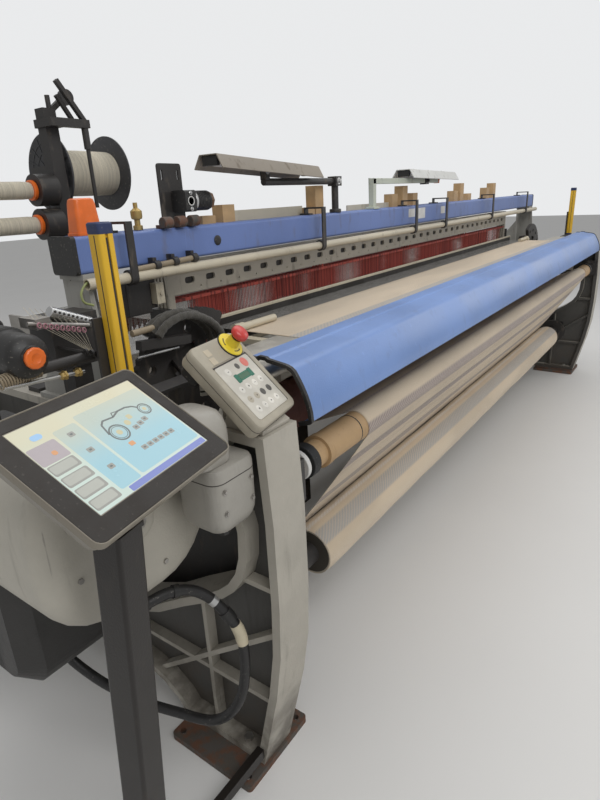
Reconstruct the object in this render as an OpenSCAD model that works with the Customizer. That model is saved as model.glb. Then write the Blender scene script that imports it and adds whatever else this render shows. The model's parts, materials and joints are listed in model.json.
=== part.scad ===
// Wide power loom with flexible rapiers, seen from the weaver's side.
// X runs along the machine, from the control side to the far side.
// Y runs from the weaver's side to the warp side, Z is up, and the floor is Z = 0.
// The origin is the middle of the machine's outline on the floor.

/* [Side frames] */
// Distance from a side frame's outer face to the cloth's edge
side_room = 490; // [470:5:560]
// Width of a side frame's flange
frame_t = 120; // [100:1:140]
// Height of the front leg
leg_h = 1030; // [1010:1:1060]
// Height of the frame behind the front leg
rail_h = 980; // [960:1:990]
// Depth of a side frame from the front leg to the rear leg
frame_d = 1560; // [1540:1:1620]
// Thickness of the casting's web
web_t = 22; // [14:1:30]
// Thickness of the casting's outer flange
rim_t = 24; // [16:1:30]
// Thickness of the floor plates
plate_t = 20; // [12:1:30]
// Width of a floor plate
plate_w = 270; // [240:1:300]
// Length of a floor plate
plate_l = 305; // [280:1:330]
// Radius of an anchor hole in a floor plate
anchor_r = 9; // [6:0.5:12]

/* [Cloth path] */
// Height of the cloth and of the level warp
cloth_z = 1112; // [1100:1:1125]
// Width of the cloth
cloth_w = 3320; // [2900:10:3360]
// Thickness of the cloth
cloth_t = 1.6; // [1:0.1:3]
// Distance of the fell from the leg's front face
fell_v = 500; // [490:1:505]
// Distance of the breast beam's nose from the leg's front face
nose_v = 165; // [155:1:175]
// Radius of the breast beam's nose
nose_r = 17; // [12:1:18]
// Diameter of the take-up roller
takeup_d = 150; // [130:1:156]
// Diameter of the guide tube below the cover
guide_d = 88; // [70:1:92]
// Diameter of the cloth roll's core
core_d = 76; // [50:1:90]
// Diameter of the cloth that is wound on the core
winding_d = 172; // [150:1:190]
// Depth of the breast cover
cover_d = 185; // [175:1:195]
// Height of the breast cover
cover_h = 142; // [120:1:150]
// Thickness of the breast cover's sheet
cover_t = 3; // [2:0.5:5]

/* [Warp path] */
// Diameter of the back rest roller
rest_d = 130; // [100:1:150]
// Diameter of the warp beam's flanges
flange_d = 800; // [700:5:820]
// Diameter of the warp that is wound on the beam
warp_d = 560; // [300:5:680]
// Diameter of the warp beam's barrel
barrel_d = 170; // [140:1:200]
// Number of warp groups between the dents
dents = 80; // [40:1:100]
// Share of the pitch that a warp group fills
warp_share = 0.48; // [0.3:0.01:0.55]

/* [Shedding and beat-up] */
// Reach of a heald frame past the cloth's edge
heald_reach = 120; // [80:5:130]
// Height of a heald frame's top rail
heald_rail_h = 98; // [80:1:104]
// Thickness of a heald frame
heald_t = 10; // [8:0.5:12]
// Distance from one heald frame to the next
heald_pitch = 16; // [15:0.5:20]
// Length of the healds between the rails
heald_l = 300; // [280:1:320]
// Half of a heald frame's lift
shed = 40; // [20:1:45]
// Reach of the reed past the cloth's edge
reed_reach = 40; // [30:1:60]
// Height of the reed
reed_h = 113; // [100:1:118]
// Distance of the reed from the leg's front face
reed_v = 604; // [600:1:612]
// Diameter of the rocker shaft
rocker_d = 60; // [45:1:70]

/* [Top beam] */
// Height of the top beam's section
beam_h = 90; // [70:1:110]
// Depth of the top beam's section
beam_d = 96; // [80:1:100]
// Height of the top beam's underside
beam_z = 1346; // [1340:1:1370]
// Diameter of the guard rail
guard_d = 28; // [20:1:34]

/* [Consoles] */
// Width of the key console
console_w = 175; // [150:1:200]
// Length of the key console
console_l = 225; // [200:1:260]
// Height of the key console's case
console_h = 42; // [35:1:50]
// Tilt of the key console
console_tilt = 45; // [30:1:50]
// Turn of both consoles towards the aisle
console_yaw = 11; // [0:1:15]
// Width of the touch terminal
term_w = 320; // [280:1:360]
// Length of the touch terminal
term_l = 240; // [220:1:280]
// Thickness of the touch terminal
term_t = 46; // [36:1:60]
// Tilt of the touch terminal
term_tilt = 31; // [15:1:40]
// Side of the terminal's square post
post_s = 64; // [56:1:80]

/* [Rapier drive] */
// Radius of a rapier wheel
wheel_r = 140; // [120:1:150]
// Width of the rapier's head
head_w = 28; // [20:1:32]
// Height of the rapier's head
head_h = 20; // [14:1:24]
// Length of the rapier's head
head_l = 165; // [120:1:180]

/* [Side units] */
// Reach of the gearbox from the left side frame
gearbox_w = 400; // [320:1:440]
// Reach of the dobby from the right side frame
dobby_w = 300; // [240:1:360]
// Width of the gear cover beside the leg
gear_cover_w = 418; // [360:1:430]
// Height of the gear cover beside the leg
gear_cover_h = 400; // [340:1:420]

/* [Fits] */
// Radial clearance of a journal in its bearing
fit = 0.05; // [0.02:0.01:0.1]
// Gap between cloth or warp and what it runs over
skin = 0.3; // [0.2:0.1:1]

/* [Hidden] */
$fn = 48;

CAST = [0.56, 0.54, 0.50];
BLUE = [0.36, 0.48, 0.74];
BLACK = [0.11, 0.11, 0.12];
STEEL = [0.62, 0.62, 0.62];
ALLOY = [0.74, 0.73, 0.68];
CREAM = [0.86, 0.82, 0.72];

// Terminal: the middle of its face, measured from the left frame's outer front edge
term_u = -328;
term_v = 34;
term_z = 1152;
term_rim = 6;
term_r = 16;
term_lip = 14;
// Reach of the terminal's rounded rim along a level direction with the turn a
function rim_reach(a) = (term_w / 2 + term_rim - term_r) * cos(a)
  + (term_l / 2 + term_rim - term_r) * cos(term_tilt) * sin(a)
  + term_r * norm([cos(a), sin(a) * cos(term_tilt)]);
term_reach = rim_reach(console_yaw) + term_lip * sin(console_yaw) * sin(term_tilt);
term_front = rim_reach(90 - console_yaw);

// Widths that follow the cloth
frame_w = cloth_w + 2 * side_room;
heald_w = cloth_w + 2 * heald_reach;
reed_w = cloth_w + 2 * reed_reach;

// Reach of the machine beyond the left frame, the right frame and the leg's front face
beam_v = 1420;
beam_axis_z = 560;
left_reach = max(term_reach - term_u, gearbox_w + 20);
right_reach = dobby_w;
front_reach = term_front - term_v;
rear_reach = beam_v + flange_d / 2;
x_l = -(left_reach + frame_w + right_reach) / 2 + left_reach;
x_r = x_l + frame_w;
x_c = (x_l + x_r) / 2;
y_f = -(front_reach + rear_reach) / 2 + front_reach;

// Level faces
foot_z = plate_t;
inner_l = x_l + frame_t;
inner_r = x_r - frame_t;
bearing_t = 30;

// Places of the shafts as [distance from the leg's front face, height]
takeup_c = [300, cloth_z - 212];
guide_c = [75, cloth_z - 244];
cloth_c = [254, 372];
rocker_c = [640, 700];
rest_c = [1500, cloth_z - cloth_t / 2 - skin - rest_d / 2];
warp_c = [beam_v, beam_axis_z];
nose_c = [nose_v, cloth_z - cloth_t / 2 - skin - nose_r];

// Journals of the rollers
journal_d = 40;
thin_journal_d = 26;
warp_journal_d = 70;
roller_u = 190;

// Warp groups and the dents between them
pitch = cloth_w / dents;
warp_group = pitch * warp_share;
gap_w = pitch - warp_group;
dent_w = gap_w * 0.5;
comb_start = fell_v + 6;
comb_end = 1330;

// Heald frames
heald_v = 672;
heald_x = x_c - heald_w / 2;
heald_z = beam_z - 21 - heald_rail_h;
heald_slots = floor(heald_w / 96) - 1;

// Rapier heads
head_v = 516;
head_z = cloth_z + cloth_t / 2 + 2;
head_end = (frame_w - reed_w) / 2 - 10;
wheel_u = frame_t + 25 + wheel_r;
wheel_z = head_z - wheel_r;
wheel_w = 30;

// Turns a drawing in the Y-Z plane into a bar along X
module along_x(x0, x1) {
  translate([x0, y_f, 0]) rotate([90, 0, 90]) linear_extrude(x1 - x0) children();
}

module rod_x(x0, x1, place, d) {
  translate([x0, y_f + place.x, place.y]) rotate([0, 90, 0]) cylinder(d = d, h = x1 - x0);
}

module block(x0, x1, v0, v1, z0, z1) {
  translate([x0, y_f + v0, z0]) cube([x1 - x0, v1 - v0, z1 - z0]);
}

module round_rect(w, h, r) {
  offset(r) square([w - 2 * r, h - 2 * r], center = true);
}

module both_sides() {
  children();
  translate([2 * x_c, 0, 0]) mirror([1, 0, 0]) children();
}

function bezier(a, b, c, d, steps) = [for (i = [0:steps])
  let (t = i / steps, s = 1 - t)
  s * s * s * a + 3 * s * s * t * b + 3 * s * t * t * c + t * t * t * d];
function reversed(list) = [for (i = [len(list) - 1:-1:0]) list[i]];
function turn(a) = [cos(a), sin(a)];
function wrap(a) = (a % 360 + 360) % 360;

// Belt path over rollers: a roller is [centre, radius], with a radius below zero
// where the belt turns clockwise round it. The normal's angle names a point on it.
// The arc's corners lie outside the roller, so that its chords clear it.
function belt_angle(p, q) = let (d = q[0] - p[0])
  atan2(d.y, d.x) - acos((p[1] - q[1]) / norm(d));
function belt_arc(roller, a, b, steps) = let (
    way = roller[1] > 0 ? wrap(b - a) : -wrap(a - b),
    corner = roller[1] / cos(way / steps / 2))
  [for (i = [0:steps]) [roller[0], corner, a + way * i / steps]];
function belt_side(path, t) = [for (p = path) p[0] + (p[1] + t) * turn(p[2])];
module belt(path, t) {
  polygon(concat(belt_side(path, t / 2), reversed(belt_side(path, -t / 2))));
}

// Side frames
function frame_outline() = concat(
  [[95, foot_z], [30, 300], [8, 440], [0, 600], [0, 820], [12, leg_h], [138, leg_h]],
  bezier([146, leg_h], [160, leg_h], [150, rail_h], [176, rail_h], 4),
  [[frame_d - 120, rail_h]],
  bezier([frame_d - 60, rail_h], [frame_d - 30, rail_h], [frame_d - 10, rail_h - 30],
    [frame_d - 10, rail_h - 80], 4),
  [[frame_d, 300], [frame_d, foot_z], [frame_d - 300, foot_z]],
  bezier([frame_d - 330, 60], [frame_d - 400, 120], [frame_d - 460, 130],
    [frame_d - 560, 130], 4),
  bezier([700, 130], [600, 130], [500, 120], [430, 60], 4),
  [[400, foot_z]]);
function arch_outline() = concat(
  bezier([112, 760], [108, 590], [210, 560], [360, 470], 7),
  bezier([470, 400], [620, 330], [700, 320], [800, 320], 4),
  bezier([1000, 320], [1180, 330], [1230, 400], [1240, 520], 5),
  [[1240, 760]],
  bezier([1240, 790], [1236, 806], [1220, 812], [1200, 812], 3),
  bezier([160, 812], [130, 812], [112, 800], [112, 770], 3));
module frame_face() {
  difference() {
    polygon(frame_outline());
    polygon(arch_outline());
  }
}
module rib(a, b, w) {
  d = b - a;
  translate(a) rotate(atan2(d.y, d.x)) translate([0, -w / 2]) square([norm(d), w]);
}
module frame_ribs() {
  rib([285, 0], [285, 600], 14);
  rib([20, 500], [560, 90], 14);
  rib([60, 250], [620, 250], 14);
  rib([20, 620], [160, 620], 14);
  rib([frame_d - 290, 0], [frame_d - 290, 900], 14);
  rib([frame_d - 320, 640], [frame_d, 420], 14);
  rib([frame_d - 700, 200], [frame_d, 200], 14);
  rib([400, rail_h], [560, 780], 14);
  rib([900, rail_h], [740, 780], 14);
}
bolt_v = [170, frame_d - 170];
bosses = [[takeup_c, 58], [guide_c, 40], [cloth_c, 44], [rest_c, 54], [warp_c, 74], [[430, 215], 56]];
module side_frame(x0, boss_x) {
  rib_t = frame_t - 36;
  difference() {
    union() {
      for (b = bosses) along_x(boss_x, boss_x + frame_t / 2) intersection() {
        translate(b[0]) circle(b[1]);
        frame_face();
      }
      along_x(x0, x0 + frame_t) difference() {
        frame_face();
        offset(delta = -rim_t) frame_face();
      }
      along_x(x0 + (frame_t - web_t) / 2, x0 + (frame_t + web_t) / 2) frame_face();
      along_x(x0 + (frame_t - rib_t) / 2, x0 + (frame_t + rib_t) / 2) intersection() {
        frame_face();
        frame_ribs();
      }
    }
    for (v = bolt_v, s = [-1, 1])
      translate([x0 + frame_t / 2 + s * bolt_side, y_f + v, 0]) cylinder(r = bolt_r + 1, h = 60);
  }
}
bolt_r = 8;
bolt_side = 34;
module left_side_frame() {
  color(CAST) side_frame(x_l, x_l + frame_t / 2);
}
module right_side_frame() {
  color(CAST) side_frame(inner_r, inner_r);
}

plate_v = [238, frame_d - 150];
anchor_x = plate_w - 50;
anchor_y = plate_l - 50;
module floor_plates() {
  color(BLACK) for (x = [x_l + frame_t / 2, x_r - frame_t / 2], v = plate_v)
    translate([x, y_f + v, 0]) difference() {
      linear_extrude(plate_t) round_rect(plate_w, plate_l, 12);
      for (sx = [-1, 1], sy = [-1, 1])
        translate([sx * anchor_x / 2, sy * anchor_y / 2, -1]) cylinder(r = anchor_r, h = plate_t + 2);
      for (b = bolt_v, s = [-1, 1])
        translate([s * bolt_side, b - v, 4]) cylinder(r = bolt_r + 0.5, h = plate_t);
    }
}
module foot_bolts() {
  head_z0 = foot_z + rim_t;
  color(STEEL) for (x = [x_l + frame_t / 2, x_r - frame_t / 2], v = bolt_v, s = [-1, 1])
    translate([x + s * bolt_side, y_f + v, 0]) {
      translate([0, 0, 5]) cylinder(r = bolt_r, h = head_z0 - 5);
      translate([0, 0, head_z0]) cylinder(r = bolt_r * 1.7, h = 11, $fn = 6);
    }
}

tie_w = 90;
tie_h = 110;
ties = [[430, 215], [880, 215], [890, 860]];
module tie_beams() {
  color(CAST) for (t = ties) {
    along_x(inner_l + 16, inner_r - 16) translate(t) difference() {
      round_rect(tie_w, tie_h, 10);
      round_rect(tie_w - 14, tie_h - 14, 6);
    }
    for (x = [inner_l, inner_r - 16]) along_x(x, x + 16) translate(t) round_rect(tie_w + 30, tie_h + 50, 12);
  }
}

// Top beam and what it carries
beam_v0 = 568;
beam_cap_t = 12;
beam_mid = [beam_v0 + beam_d / 2, beam_z + beam_h / 2];
beam_top = beam_z + beam_h;
module top_beam() {
  color(BLUE) along_x(x_l + beam_cap_t, x_r - beam_cap_t) translate(beam_mid) difference() {
    round_rect(beam_d, beam_h, 9);
    round_rect(beam_d - 8, beam_h - 8, 5);
  }
}
bracket_v1 = 860;
module beam_brackets() {
  foot_v0 = 540;
  gusset_t = 14;
  color([0.48, 0.49, 0.50]) both_sides() {
    along_x(x_l + 20, x_l + 20 + gusset_t) polygon([[foot_v0, rail_h + 16], [bracket_v1, rail_h + 16],
      [bracket_v1, rail_h + 40], [beam_v0 + beam_d, beam_z - 90], [beam_v0 + beam_d, beam_z - 14],
      [beam_v0 - 4, beam_z - 14], [foot_v0, rail_h + 120]]);
    along_x(x_l + 4, x_l + frame_t - 4) translate([foot_v0 - 6, rail_h])
      square([bracket_v1 - foot_v0 + 12, 16]);
    along_x(x_l + 13, x_l + frame_t - 4) translate([beam_v0 - 4, beam_z - 14]) square([beam_d + 4, 14]);
    along_x(x_l + 20, x_l + frame_t - 16) polygon([[beam_v0 + beam_d - 14, rail_h + 16],
      [beam_v0 + beam_d, rail_h + 16], [beam_v0 + beam_d, beam_z - 14],
      [beam_v0 + beam_d - 14, beam_z - 14]]);
  }
}

guard_c = [beam_v0 - 26, beam_z - 22];
module guard_rail() {
  color(CREAM) difference() {
    rod_x(x_l + 6, x_r - 6, guard_c, guard_d);
    rod_x(x_l + 5, x_r - 5, guard_c, guard_d - 5);
  }
}
// Places of the hooks along the rail, measured from the left frame
hook_u = [140, 1048, 1894, 2291, 3108, frame_w - 352];
hook_t = 6;
hook_w = 22;
module hook_profile() {
  ring = guard_d / 2 + skin;
  front = guard_c.x - ring - hook_t;
  difference() {
    union() {
      translate(guard_c) circle(ring + hook_t);
      translate([front, guard_c.y]) square([hook_t, beam_top + 28 - guard_c.y]);
      translate([front, beam_top + 22]) square([beam_v0 + 40 - front, hook_t]);
      translate([beam_v0 + 34, beam_top]) square([hook_t, 24]);
      translate([beam_v0 + 14, beam_top]) square([46, hook_t]);
    }
    translate(guard_c) circle(ring);
  }
}
module rail_hooks() {
  color(BLACK) for (u = hook_u) along_x(x_l + u - hook_w / 2, x_l + u + hook_w / 2) hook_profile();
}

// Wooden blocks that guide the heald frames, as [place from the left frame, height]
guides = [[500, 24], [594, 54], [1070, 26], [1135, 106], [1812, 60], [1926, 96], [2050, 60], [2640, 60],
  [2740, 102], [2880, 40], [3240, 70], [3380, 98]];
guide_w = 58;
module heald_guides() {
  color([0.80, 0.62, 0.42]) for (g = guides)
    block(x_l + g[0], x_l + g[0] + guide_w, beam_v0 + 50, beam_v0 + beam_d, beam_top, beam_top + g[1]);
}

// Plastic end caps of the top beam and of the breast cover
trim_t = 10;
cover_u = 42;
module end_caps() {
  color(BLACK) both_sides() {
    along_x(x_l, x_l + beam_cap_t) translate(beam_mid) round_rect(beam_d + 4, beam_h + 4, 10);
    along_x(inner_l + cover_u, inner_l + cover_u + trim_t) offset(delta = 3) cover_shape();
  }
}

// Breast cover: a bent sheet with a raised crest and a turned-in lower edge
cover_z = cloth_z - 104;
function cover_line() = concat(
  [[34, cover_z - 8], [6, cover_z]],
  bezier([2, cover_z + 4], [2, cover_z + 40], [20, cover_z + 78], [32, cover_z + 98], 5),
  bezier([38, cover_z + 108], [46, cover_z + cover_h - 16], [60, cover_z + cover_h - 12],
    [76, cover_z + cover_h - 10], 4),
  [[cover_d - 66, cover_z + cover_h - 4], [cover_d - 60, cover_z + cover_h],
   [cover_d - 40, cover_z + cover_h + 1], [cover_d - 34, cover_z + cover_h - 4],
   [cover_d - 8, cover_z + cover_h - 3], [cover_d, cover_z + cover_h - 12]]);
function line_normal(list, i) = let (
    a = list[max(i - 1, 0)], b = list[min(i + 1, len(list) - 1)], d = b - a)
  [d.y, -d.x] / norm(d);
function thick_line(list, t) = concat(list,
  reversed([for (i = [0:len(list) - 1]) list[i] + t * line_normal(list, i)]));
module cover_shape() {
  polygon(thick_line(cover_line(), cover_t));
}
function cover_rib(back) = concat([for (i = [1:len(cover_line()) - 6]) cover_line()[i]],
  back, [[128, cover_z + 44], [40, cover_z + 12]]);
module breast_cover() {
  x0 = inner_l + cover_u + trim_t;
  x1 = inner_r - cover_u - trim_t;
  color(BLUE) {
    along_x(x0, x1) cover_shape();
    for (i = [1:5]) {
      x = x0 + i * (x1 - x0) / 6;
      along_x(x - 3, x + 3) polygon(cover_rib([[128, cover_z + cover_h - 8]]));
    }
    for (x = [x0 + 10, x1 - 16]) along_x(x, x + 6)
      polygon(cover_rib([[nose_v - nose_r, nose_c.y + 14], [nose_v - nose_r, nose_c.y - 14]]));
  }
}

// Breast beam with a round nose; the cloth runs over it and back below it
beam_back = 345;
module breast_beam() {
  z1 = cloth_z - cloth_t / 2 - skin;
  color(ALLOY) {
    along_x(inner_l, inner_r) difference() {
      union() {
        translate(nose_c) circle(nose_r);
        polygon([[nose_v, z1], [beam_back, z1], [beam_back, z1 - 72], [beam_back - 40, z1 - 72],
          nose_c + nose_r * turn(-62)]);
      }
      polygon([[nose_v + 30, z1 - 7], [beam_back - 8, z1 - 7], [beam_back - 8, z1 - 64],
        [beam_back - 38, z1 - 64], [nose_v + 30, z1 - 26]]);
    }
    both_sides() along_x(inner_l, inner_l + 14)
      polygon([[180, 850], [222, 850], [222, z1 - 40], [beam_back, z1 - 66], [beam_back, z1 - 8],
        [nose_v, z1 - 8], [nose_v + 8, z1 - 40]]);
  }
}

// Rollers of the cloth path
takeup_belt = [takeup_c, -(takeup_d / 2 + skin + cloth_t / 2)];
guide_belt = [guide_c, guide_d / 2 + skin + cloth_t / 2];
cloth_belt = [cloth_c, -(winding_d / 2 + skin + cloth_t / 2)];
nose_belt = [nose_c, nose_r + skin + cloth_t / 2];
module journal_pair(place, d) {
  rod_x(inner_l + 2, inner_l + roller_u, place, d);
  rod_x(inner_r - roller_u, inner_r - 2, place, d);
}
module take_up_roller() {
  color([0.42, 0.32, 0.24]) {
    rod_x(inner_l + roller_u, inner_r - roller_u, takeup_c, takeup_d);
    journal_pair(takeup_c, journal_d);
  }
}
module guide_tube() {
  ring_w = 22;
  color([0.62, 0.47, 0.32]) {
    rod_x(inner_l + roller_u, inner_r - roller_u, guide_c, guide_d);
    journal_pair(guide_c, thin_journal_d);
  }
  color(BLACK) both_sides() {
    rod_x(inner_l + roller_u - ring_w, inner_l + roller_u, guide_c, guide_d + 4);
    rod_x(inner_l + roller_u - ring_w - 40, inner_l + roller_u - ring_w, guide_c, guide_d - 14);
  }
}
core_u = 130;
module cloth_roll() {
  color([0.20, 0.18, 0.17]) {
    rod_x(inner_l + core_u, inner_r - core_u, cloth_c, core_d);
    journal_pair(cloth_c, thin_journal_d);
    both_sides() rod_x(inner_l + core_u, inner_l + core_u + 16, cloth_c, winding_d + 6);
  }
}
module cloth_winding() {
  color(CREAM) difference() {
    rod_x(x_c - cloth_w / 2 - 8, x_c + cloth_w / 2 + 8, cloth_c, winding_d);
    rod_x(x_c - cloth_w / 2 - 9, x_c + cloth_w / 2 + 9, cloth_c, core_d);
  }
}

function fabric_path() = let (
    a1 = belt_angle(nose_belt, takeup_belt), a2 = belt_angle(takeup_belt, guide_belt),
    a3 = belt_angle(guide_belt, cloth_belt))
  concat([[[fell_v, cloth_z], 0, 90]],
    belt_arc(nose_belt, 90, a1, 8),
    belt_arc(takeup_belt, a1, a2, 20),
    belt_arc(guide_belt, a2, a3, 14),
    [[cloth_belt[0], cloth_belt[1], a3]]);
module fabric() {
  color(CREAM) along_x(x_c - cloth_w / 2, x_c + cloth_w / 2) belt(fabric_path(), cloth_t);
}

// Warp: a sheet from the beam over the back rest, parted into groups up to the fell
rest_belt = [rest_c, -(rest_d / 2 + skin + cloth_t / 2)];
warp_belt = [warp_c, -(warp_d / 2 + skin + cloth_t / 2)];
function warp_path() = let (a = belt_angle(rest_belt, warp_belt))
  concat([[[fell_v, cloth_z], 0, -90]], belt_arc(rest_belt, -90, a, 8),
    [[warp_belt[0], warp_belt[1], a]]);
function gap_x(i) = x_c - cloth_w / 2 + (i + 0.5) * pitch;
module warp_sheet() {
  color(CREAM) difference() {
    along_x(x_c - cloth_w / 2, x_c + cloth_w / 2) belt(warp_path(), cloth_t);
    for (i = [0:dents - 1])
      block(gap_x(i) - gap_w / 2, gap_x(i) + gap_w / 2, comb_start, comb_end, cloth_z - 4, cloth_z + 4);
  }
}

module back_rest_roller() {
  color(STEEL) {
    rod_x(inner_l + roller_u, inner_r - roller_u, rest_c, rest_d);
    journal_pair(rest_c, journal_d);
  }
}

// Warp beam: barrel, two flanges with ribs, and the toothed ring of the let-off
flange_t = 16;
module ring_gear(teeth, r, depth, t) {
  linear_extrude(t) polygon([for (i = [0:teeth - 1], k = [0:3])
    (r + (k == 1 || k == 2 ? depth : 0)) * turn((i + [0.08, 0.26, 0.5, 0.68][k]) * 360 / teeth)]);
}
module warp_beam() {
  wound_l = x_c - cloth_w / 2 - 20;
  wound_r = x_c + cloth_w / 2 + 20;
  color(ALLOY) {
    rod_x(inner_l + 150, inner_r - 150, warp_c, barrel_d);
    rod_x(inner_l + 2, inner_l + 150, warp_c, warp_journal_d);
    rod_x(inner_r - 150, inner_r - 2, warp_c, warp_journal_d);
    for (x = [wound_l - flange_t, wound_r]) {
      rod_x(x, x + flange_t, warp_c, flange_d - 24);
      translate([x - 4, y_f + warp_c.x, warp_c.y]) rotate([0, 90, 0]) difference() {
        cylinder(d = flange_d, h = flange_t + 8);
        translate([0, 0, -1]) cylinder(d = flange_d - 60, h = flange_t + 10);
      }
    }
    rod_x(wound_l - flange_t - 14, wound_l - flange_t, warp_c, barrel_d + 120);
    rod_x(wound_r + flange_t, wound_r + flange_t + 14, warp_c, barrel_d + 120);
    translate([inner_l + 160, y_f + warp_c.x, warp_c.y]) rotate([0, 90, 0]) ring_gear(60, 190, 10, 34);
  }
}
module warp_winding() {
  color(CREAM) difference() {
    rod_x(x_c - cloth_w / 2 - 15, x_c + cloth_w / 2 + 15, warp_c, warp_d);
    rod_x(x_c - cloth_w / 2 - 16, x_c + cloth_w / 2 + 16, warp_c, barrel_d);
  }
}

// Flanged bearings on the inner faces of the side frames: the outline goes round the place
module bearing_plate(outline, place, d) {
  difference() {
    union() {
      along_x(inner_l, inner_l + 18) translate(place) polygon(outline);
      rod_x(inner_l, inner_l + bearing_t, place, d + 56);
    }
    rod_x(inner_l - 1, inner_l + bearing_t + 1, place, d + 2 * fit);
  }
}
module roller_brackets() {
  color([0.30, 0.30, 0.31]) both_sides() {
    bearing_plate([[-50, -84], [50, -84], [60, 76], [-60, 76]], takeup_c, journal_d);
    bearing_plate([[-67, -48], [45, -52], [45, 62], [-67, 62]], guide_c, thin_journal_d);
    bearing_plate([[-50, -54], [50, -54], [50, 56], [-50, 56]], cloth_c, thin_journal_d);
    bearing_plate([[-40, -40], [40, -40], [80, 240], [-80, 240]], rocker_c, rocker_d);
    bearing_plate([[-100, -165], [30, -165], [40, 44], [-40, 44]], rest_c, journal_d);
    bearing_plate([[-172, -80], [128, -80], [128, 90], [-172, 90]], warp_c, warp_journal_d);
    block(inner_l, heald_x - skin, heald_v - 10, heald_v + 4 * heald_pitch + 4, 900, 926);
    block(heald_x - 24, heald_x - skin, heald_v - 10, heald_v + 4 * heald_pitch + 4, 926, 1190);
  }
}

// Drop wires ride on the warp and close a circuit when a thread breaks
wire_rows = 6;
wire_v = 1090;
wire_step = 32;
module drop_wire_rack() {
  bar_z = cloth_z + 16;
  wire_w = dent_w * 0.8;
  color([0.55, 0.55, 0.53]) {
    for (k = [0:wire_rows - 1])
      block(inner_l + 60, inner_r - 60, wire_v + k * wire_step, wire_v + k * wire_step + 5, bar_z, bar_z + 22);
    for (i = [0:dents - 1]) {
      k = i % wire_rows;
      block(gap_x(i) - wire_w / 2, gap_x(i) + wire_w / 2, wire_v + k * wire_step + 1,
        wire_v + k * wire_step + 4, bar_z - 90, bar_z + 34);
    }
    both_sides() {
      block(inner_l + 50, inner_l + 60, wire_v - 12, wire_v + wire_rows * wire_step, bar_z - 60, bar_z + 34);
      block(inner_l, inner_l + 50, wire_v + 60, wire_v + 110, bar_z - 60, bar_z - 48);
      block(inner_l, inner_l + 12, wire_v + 60, wire_v + 110, rail_h - 60, bar_z - 48);
    }
  }
}

// Sley: rocker shaft, swords, race beam and reed
sley_z = cloth_z - 80;
sword_count = 9;
module rocker_shaft() {
  color(STEEL) rod_x(inner_l + 2, inner_r - 2, rocker_c, rocker_d);
}
module sley_beam() {
  race_v0 = reed_v - 26;
  race_v1 = reed_v + 50;
  half = reed_w / 2 + 12;
  color(ALLOY) {
    along_x(x_c - half, x_c + half) difference() {
      polygon([[race_v0, sley_z - 60], [race_v1, sley_z - 60], [race_v1, sley_z - 6],
        [race_v1 - 12, sley_z], [race_v0 + 8, sley_z], [race_v0, sley_z - 10]]);
      polygon([[race_v0 + 7, sley_z - 53], [race_v1 - 7, sley_z - 53], [race_v1 - 7, sley_z - 12],
        [race_v0 + 7, sley_z - 12]]);
    }
    for (i = [0:sword_count - 1]) {
      x = x_c - half + 60 + i * (2 * half - 120) / (sword_count - 1);
      difference() {
        union() {
          along_x(x - 16, x + 16) polygon([[race_v0 + 6, sley_z - 60], [race_v1 - 4, sley_z - 60],
            [rocker_c.x + 22, rocker_c.y + 20], [rocker_c.x - 34, rocker_c.y + 20]]);
          rod_x(x - 26, x + 26, rocker_c, rocker_d + 34);
        }
        rod_x(x - 27, x + 27, rocker_c, rocker_d + 2 * fit);
      }
    }
  }
}
reed_t = 8;
cap_h = 10;
module reed() {
  z0 = sley_z;
  color([0.36, 0.36, 0.36]) difference() {
    union() {
      block(x_c - reed_w / 2, x_c + reed_w / 2, reed_v, reed_v + reed_t, z0, z0 + reed_h);
      block(x_c - reed_w / 2, x_c + reed_w / 2, reed_v - 2, reed_v + reed_t + 2, z0 + reed_h - cap_h, z0 + reed_h);
      block(x_c - reed_w / 2, x_c + reed_w / 2, reed_v - 2, reed_v + reed_t + 2, z0, z0 + 14);
    }
    for (i = [0:dents])
      block(gap_x(i) - pitch + dent_w / 2, gap_x(i) - dent_w / 2, reed_v - 3, reed_v + reed_t + 3,
        z0 + 14, z0 + reed_h - cap_h);
  }
}

// Heald frame: slotted top rail, plain bottom rail, side bars and the healds
module heald_frame(n) {
  v = heald_v + (n - 1) * heald_pitch;
  x0 = x_c - heald_w / 2;
  slot_w = 40;
  slot_h = 20;
  side_w = 28;
  low_h = 60;
  low_z = heald_z - heald_l - low_h;
  heald_width = dent_w * 0.6;
  rod_z = [heald_z - 24, heald_z - heald_l + 12];
  color(ALLOY) difference() {
    union() {
      block(x0, x0 + heald_w, v, v + heald_t, heald_z, heald_z + heald_rail_h);
      block(x0, x0 + heald_w, v, v + heald_t, low_z, low_z + low_h);
      for (x = [x0, x0 + heald_w - side_w])
        block(x, x + side_w, v, v + heald_t, low_z, heald_z + 1);
    }
    for (i = [0:heald_slots - 1]) {
      x = x_c + (i - (heald_slots - 1) / 2) * 96;
      translate([x, y_f + v - 1, heald_z + 40]) rotate([-90, 0, 0])
        linear_extrude(heald_t + 2) square([slot_w, slot_h], center = true);
    }
    for (x = [x_c - heald_w / 2 + 14, x_c + heald_w / 2 - 14])
      translate([x, y_f + v - 1, heald_z + 14]) rotate([-90, 0, 0]) cylinder(r = 3, h = heald_t + 2);
  }
  color([0.60, 0.22, 0.20]) {
    for (z = rod_z) block(x0 + side_w, x0 + heald_w - side_w, v + 3, v + 6, z, z + 12);
    for (i = [0:dents - 1])
      block(gap_x(i) - heald_width / 2, gap_x(i) + heald_width / 2, v + 3.5, v + 5.5,
        rod_z[1], rod_z[0] + 6);
    for (x = [x0 + heald_w / 4, x0 + heald_w / 2, x0 + heald_w * 3 / 4]) {
      block(x - 4, x + 4, v + 2, v + 7, rod_z[0] + 12, heald_z);
      block(x - 4, x + 4, v + 2, v + 7, low_z + low_h, rod_z[1]);
    }
  }
}
module heald_frame_1() {
  heald_frame(1);
}
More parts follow.
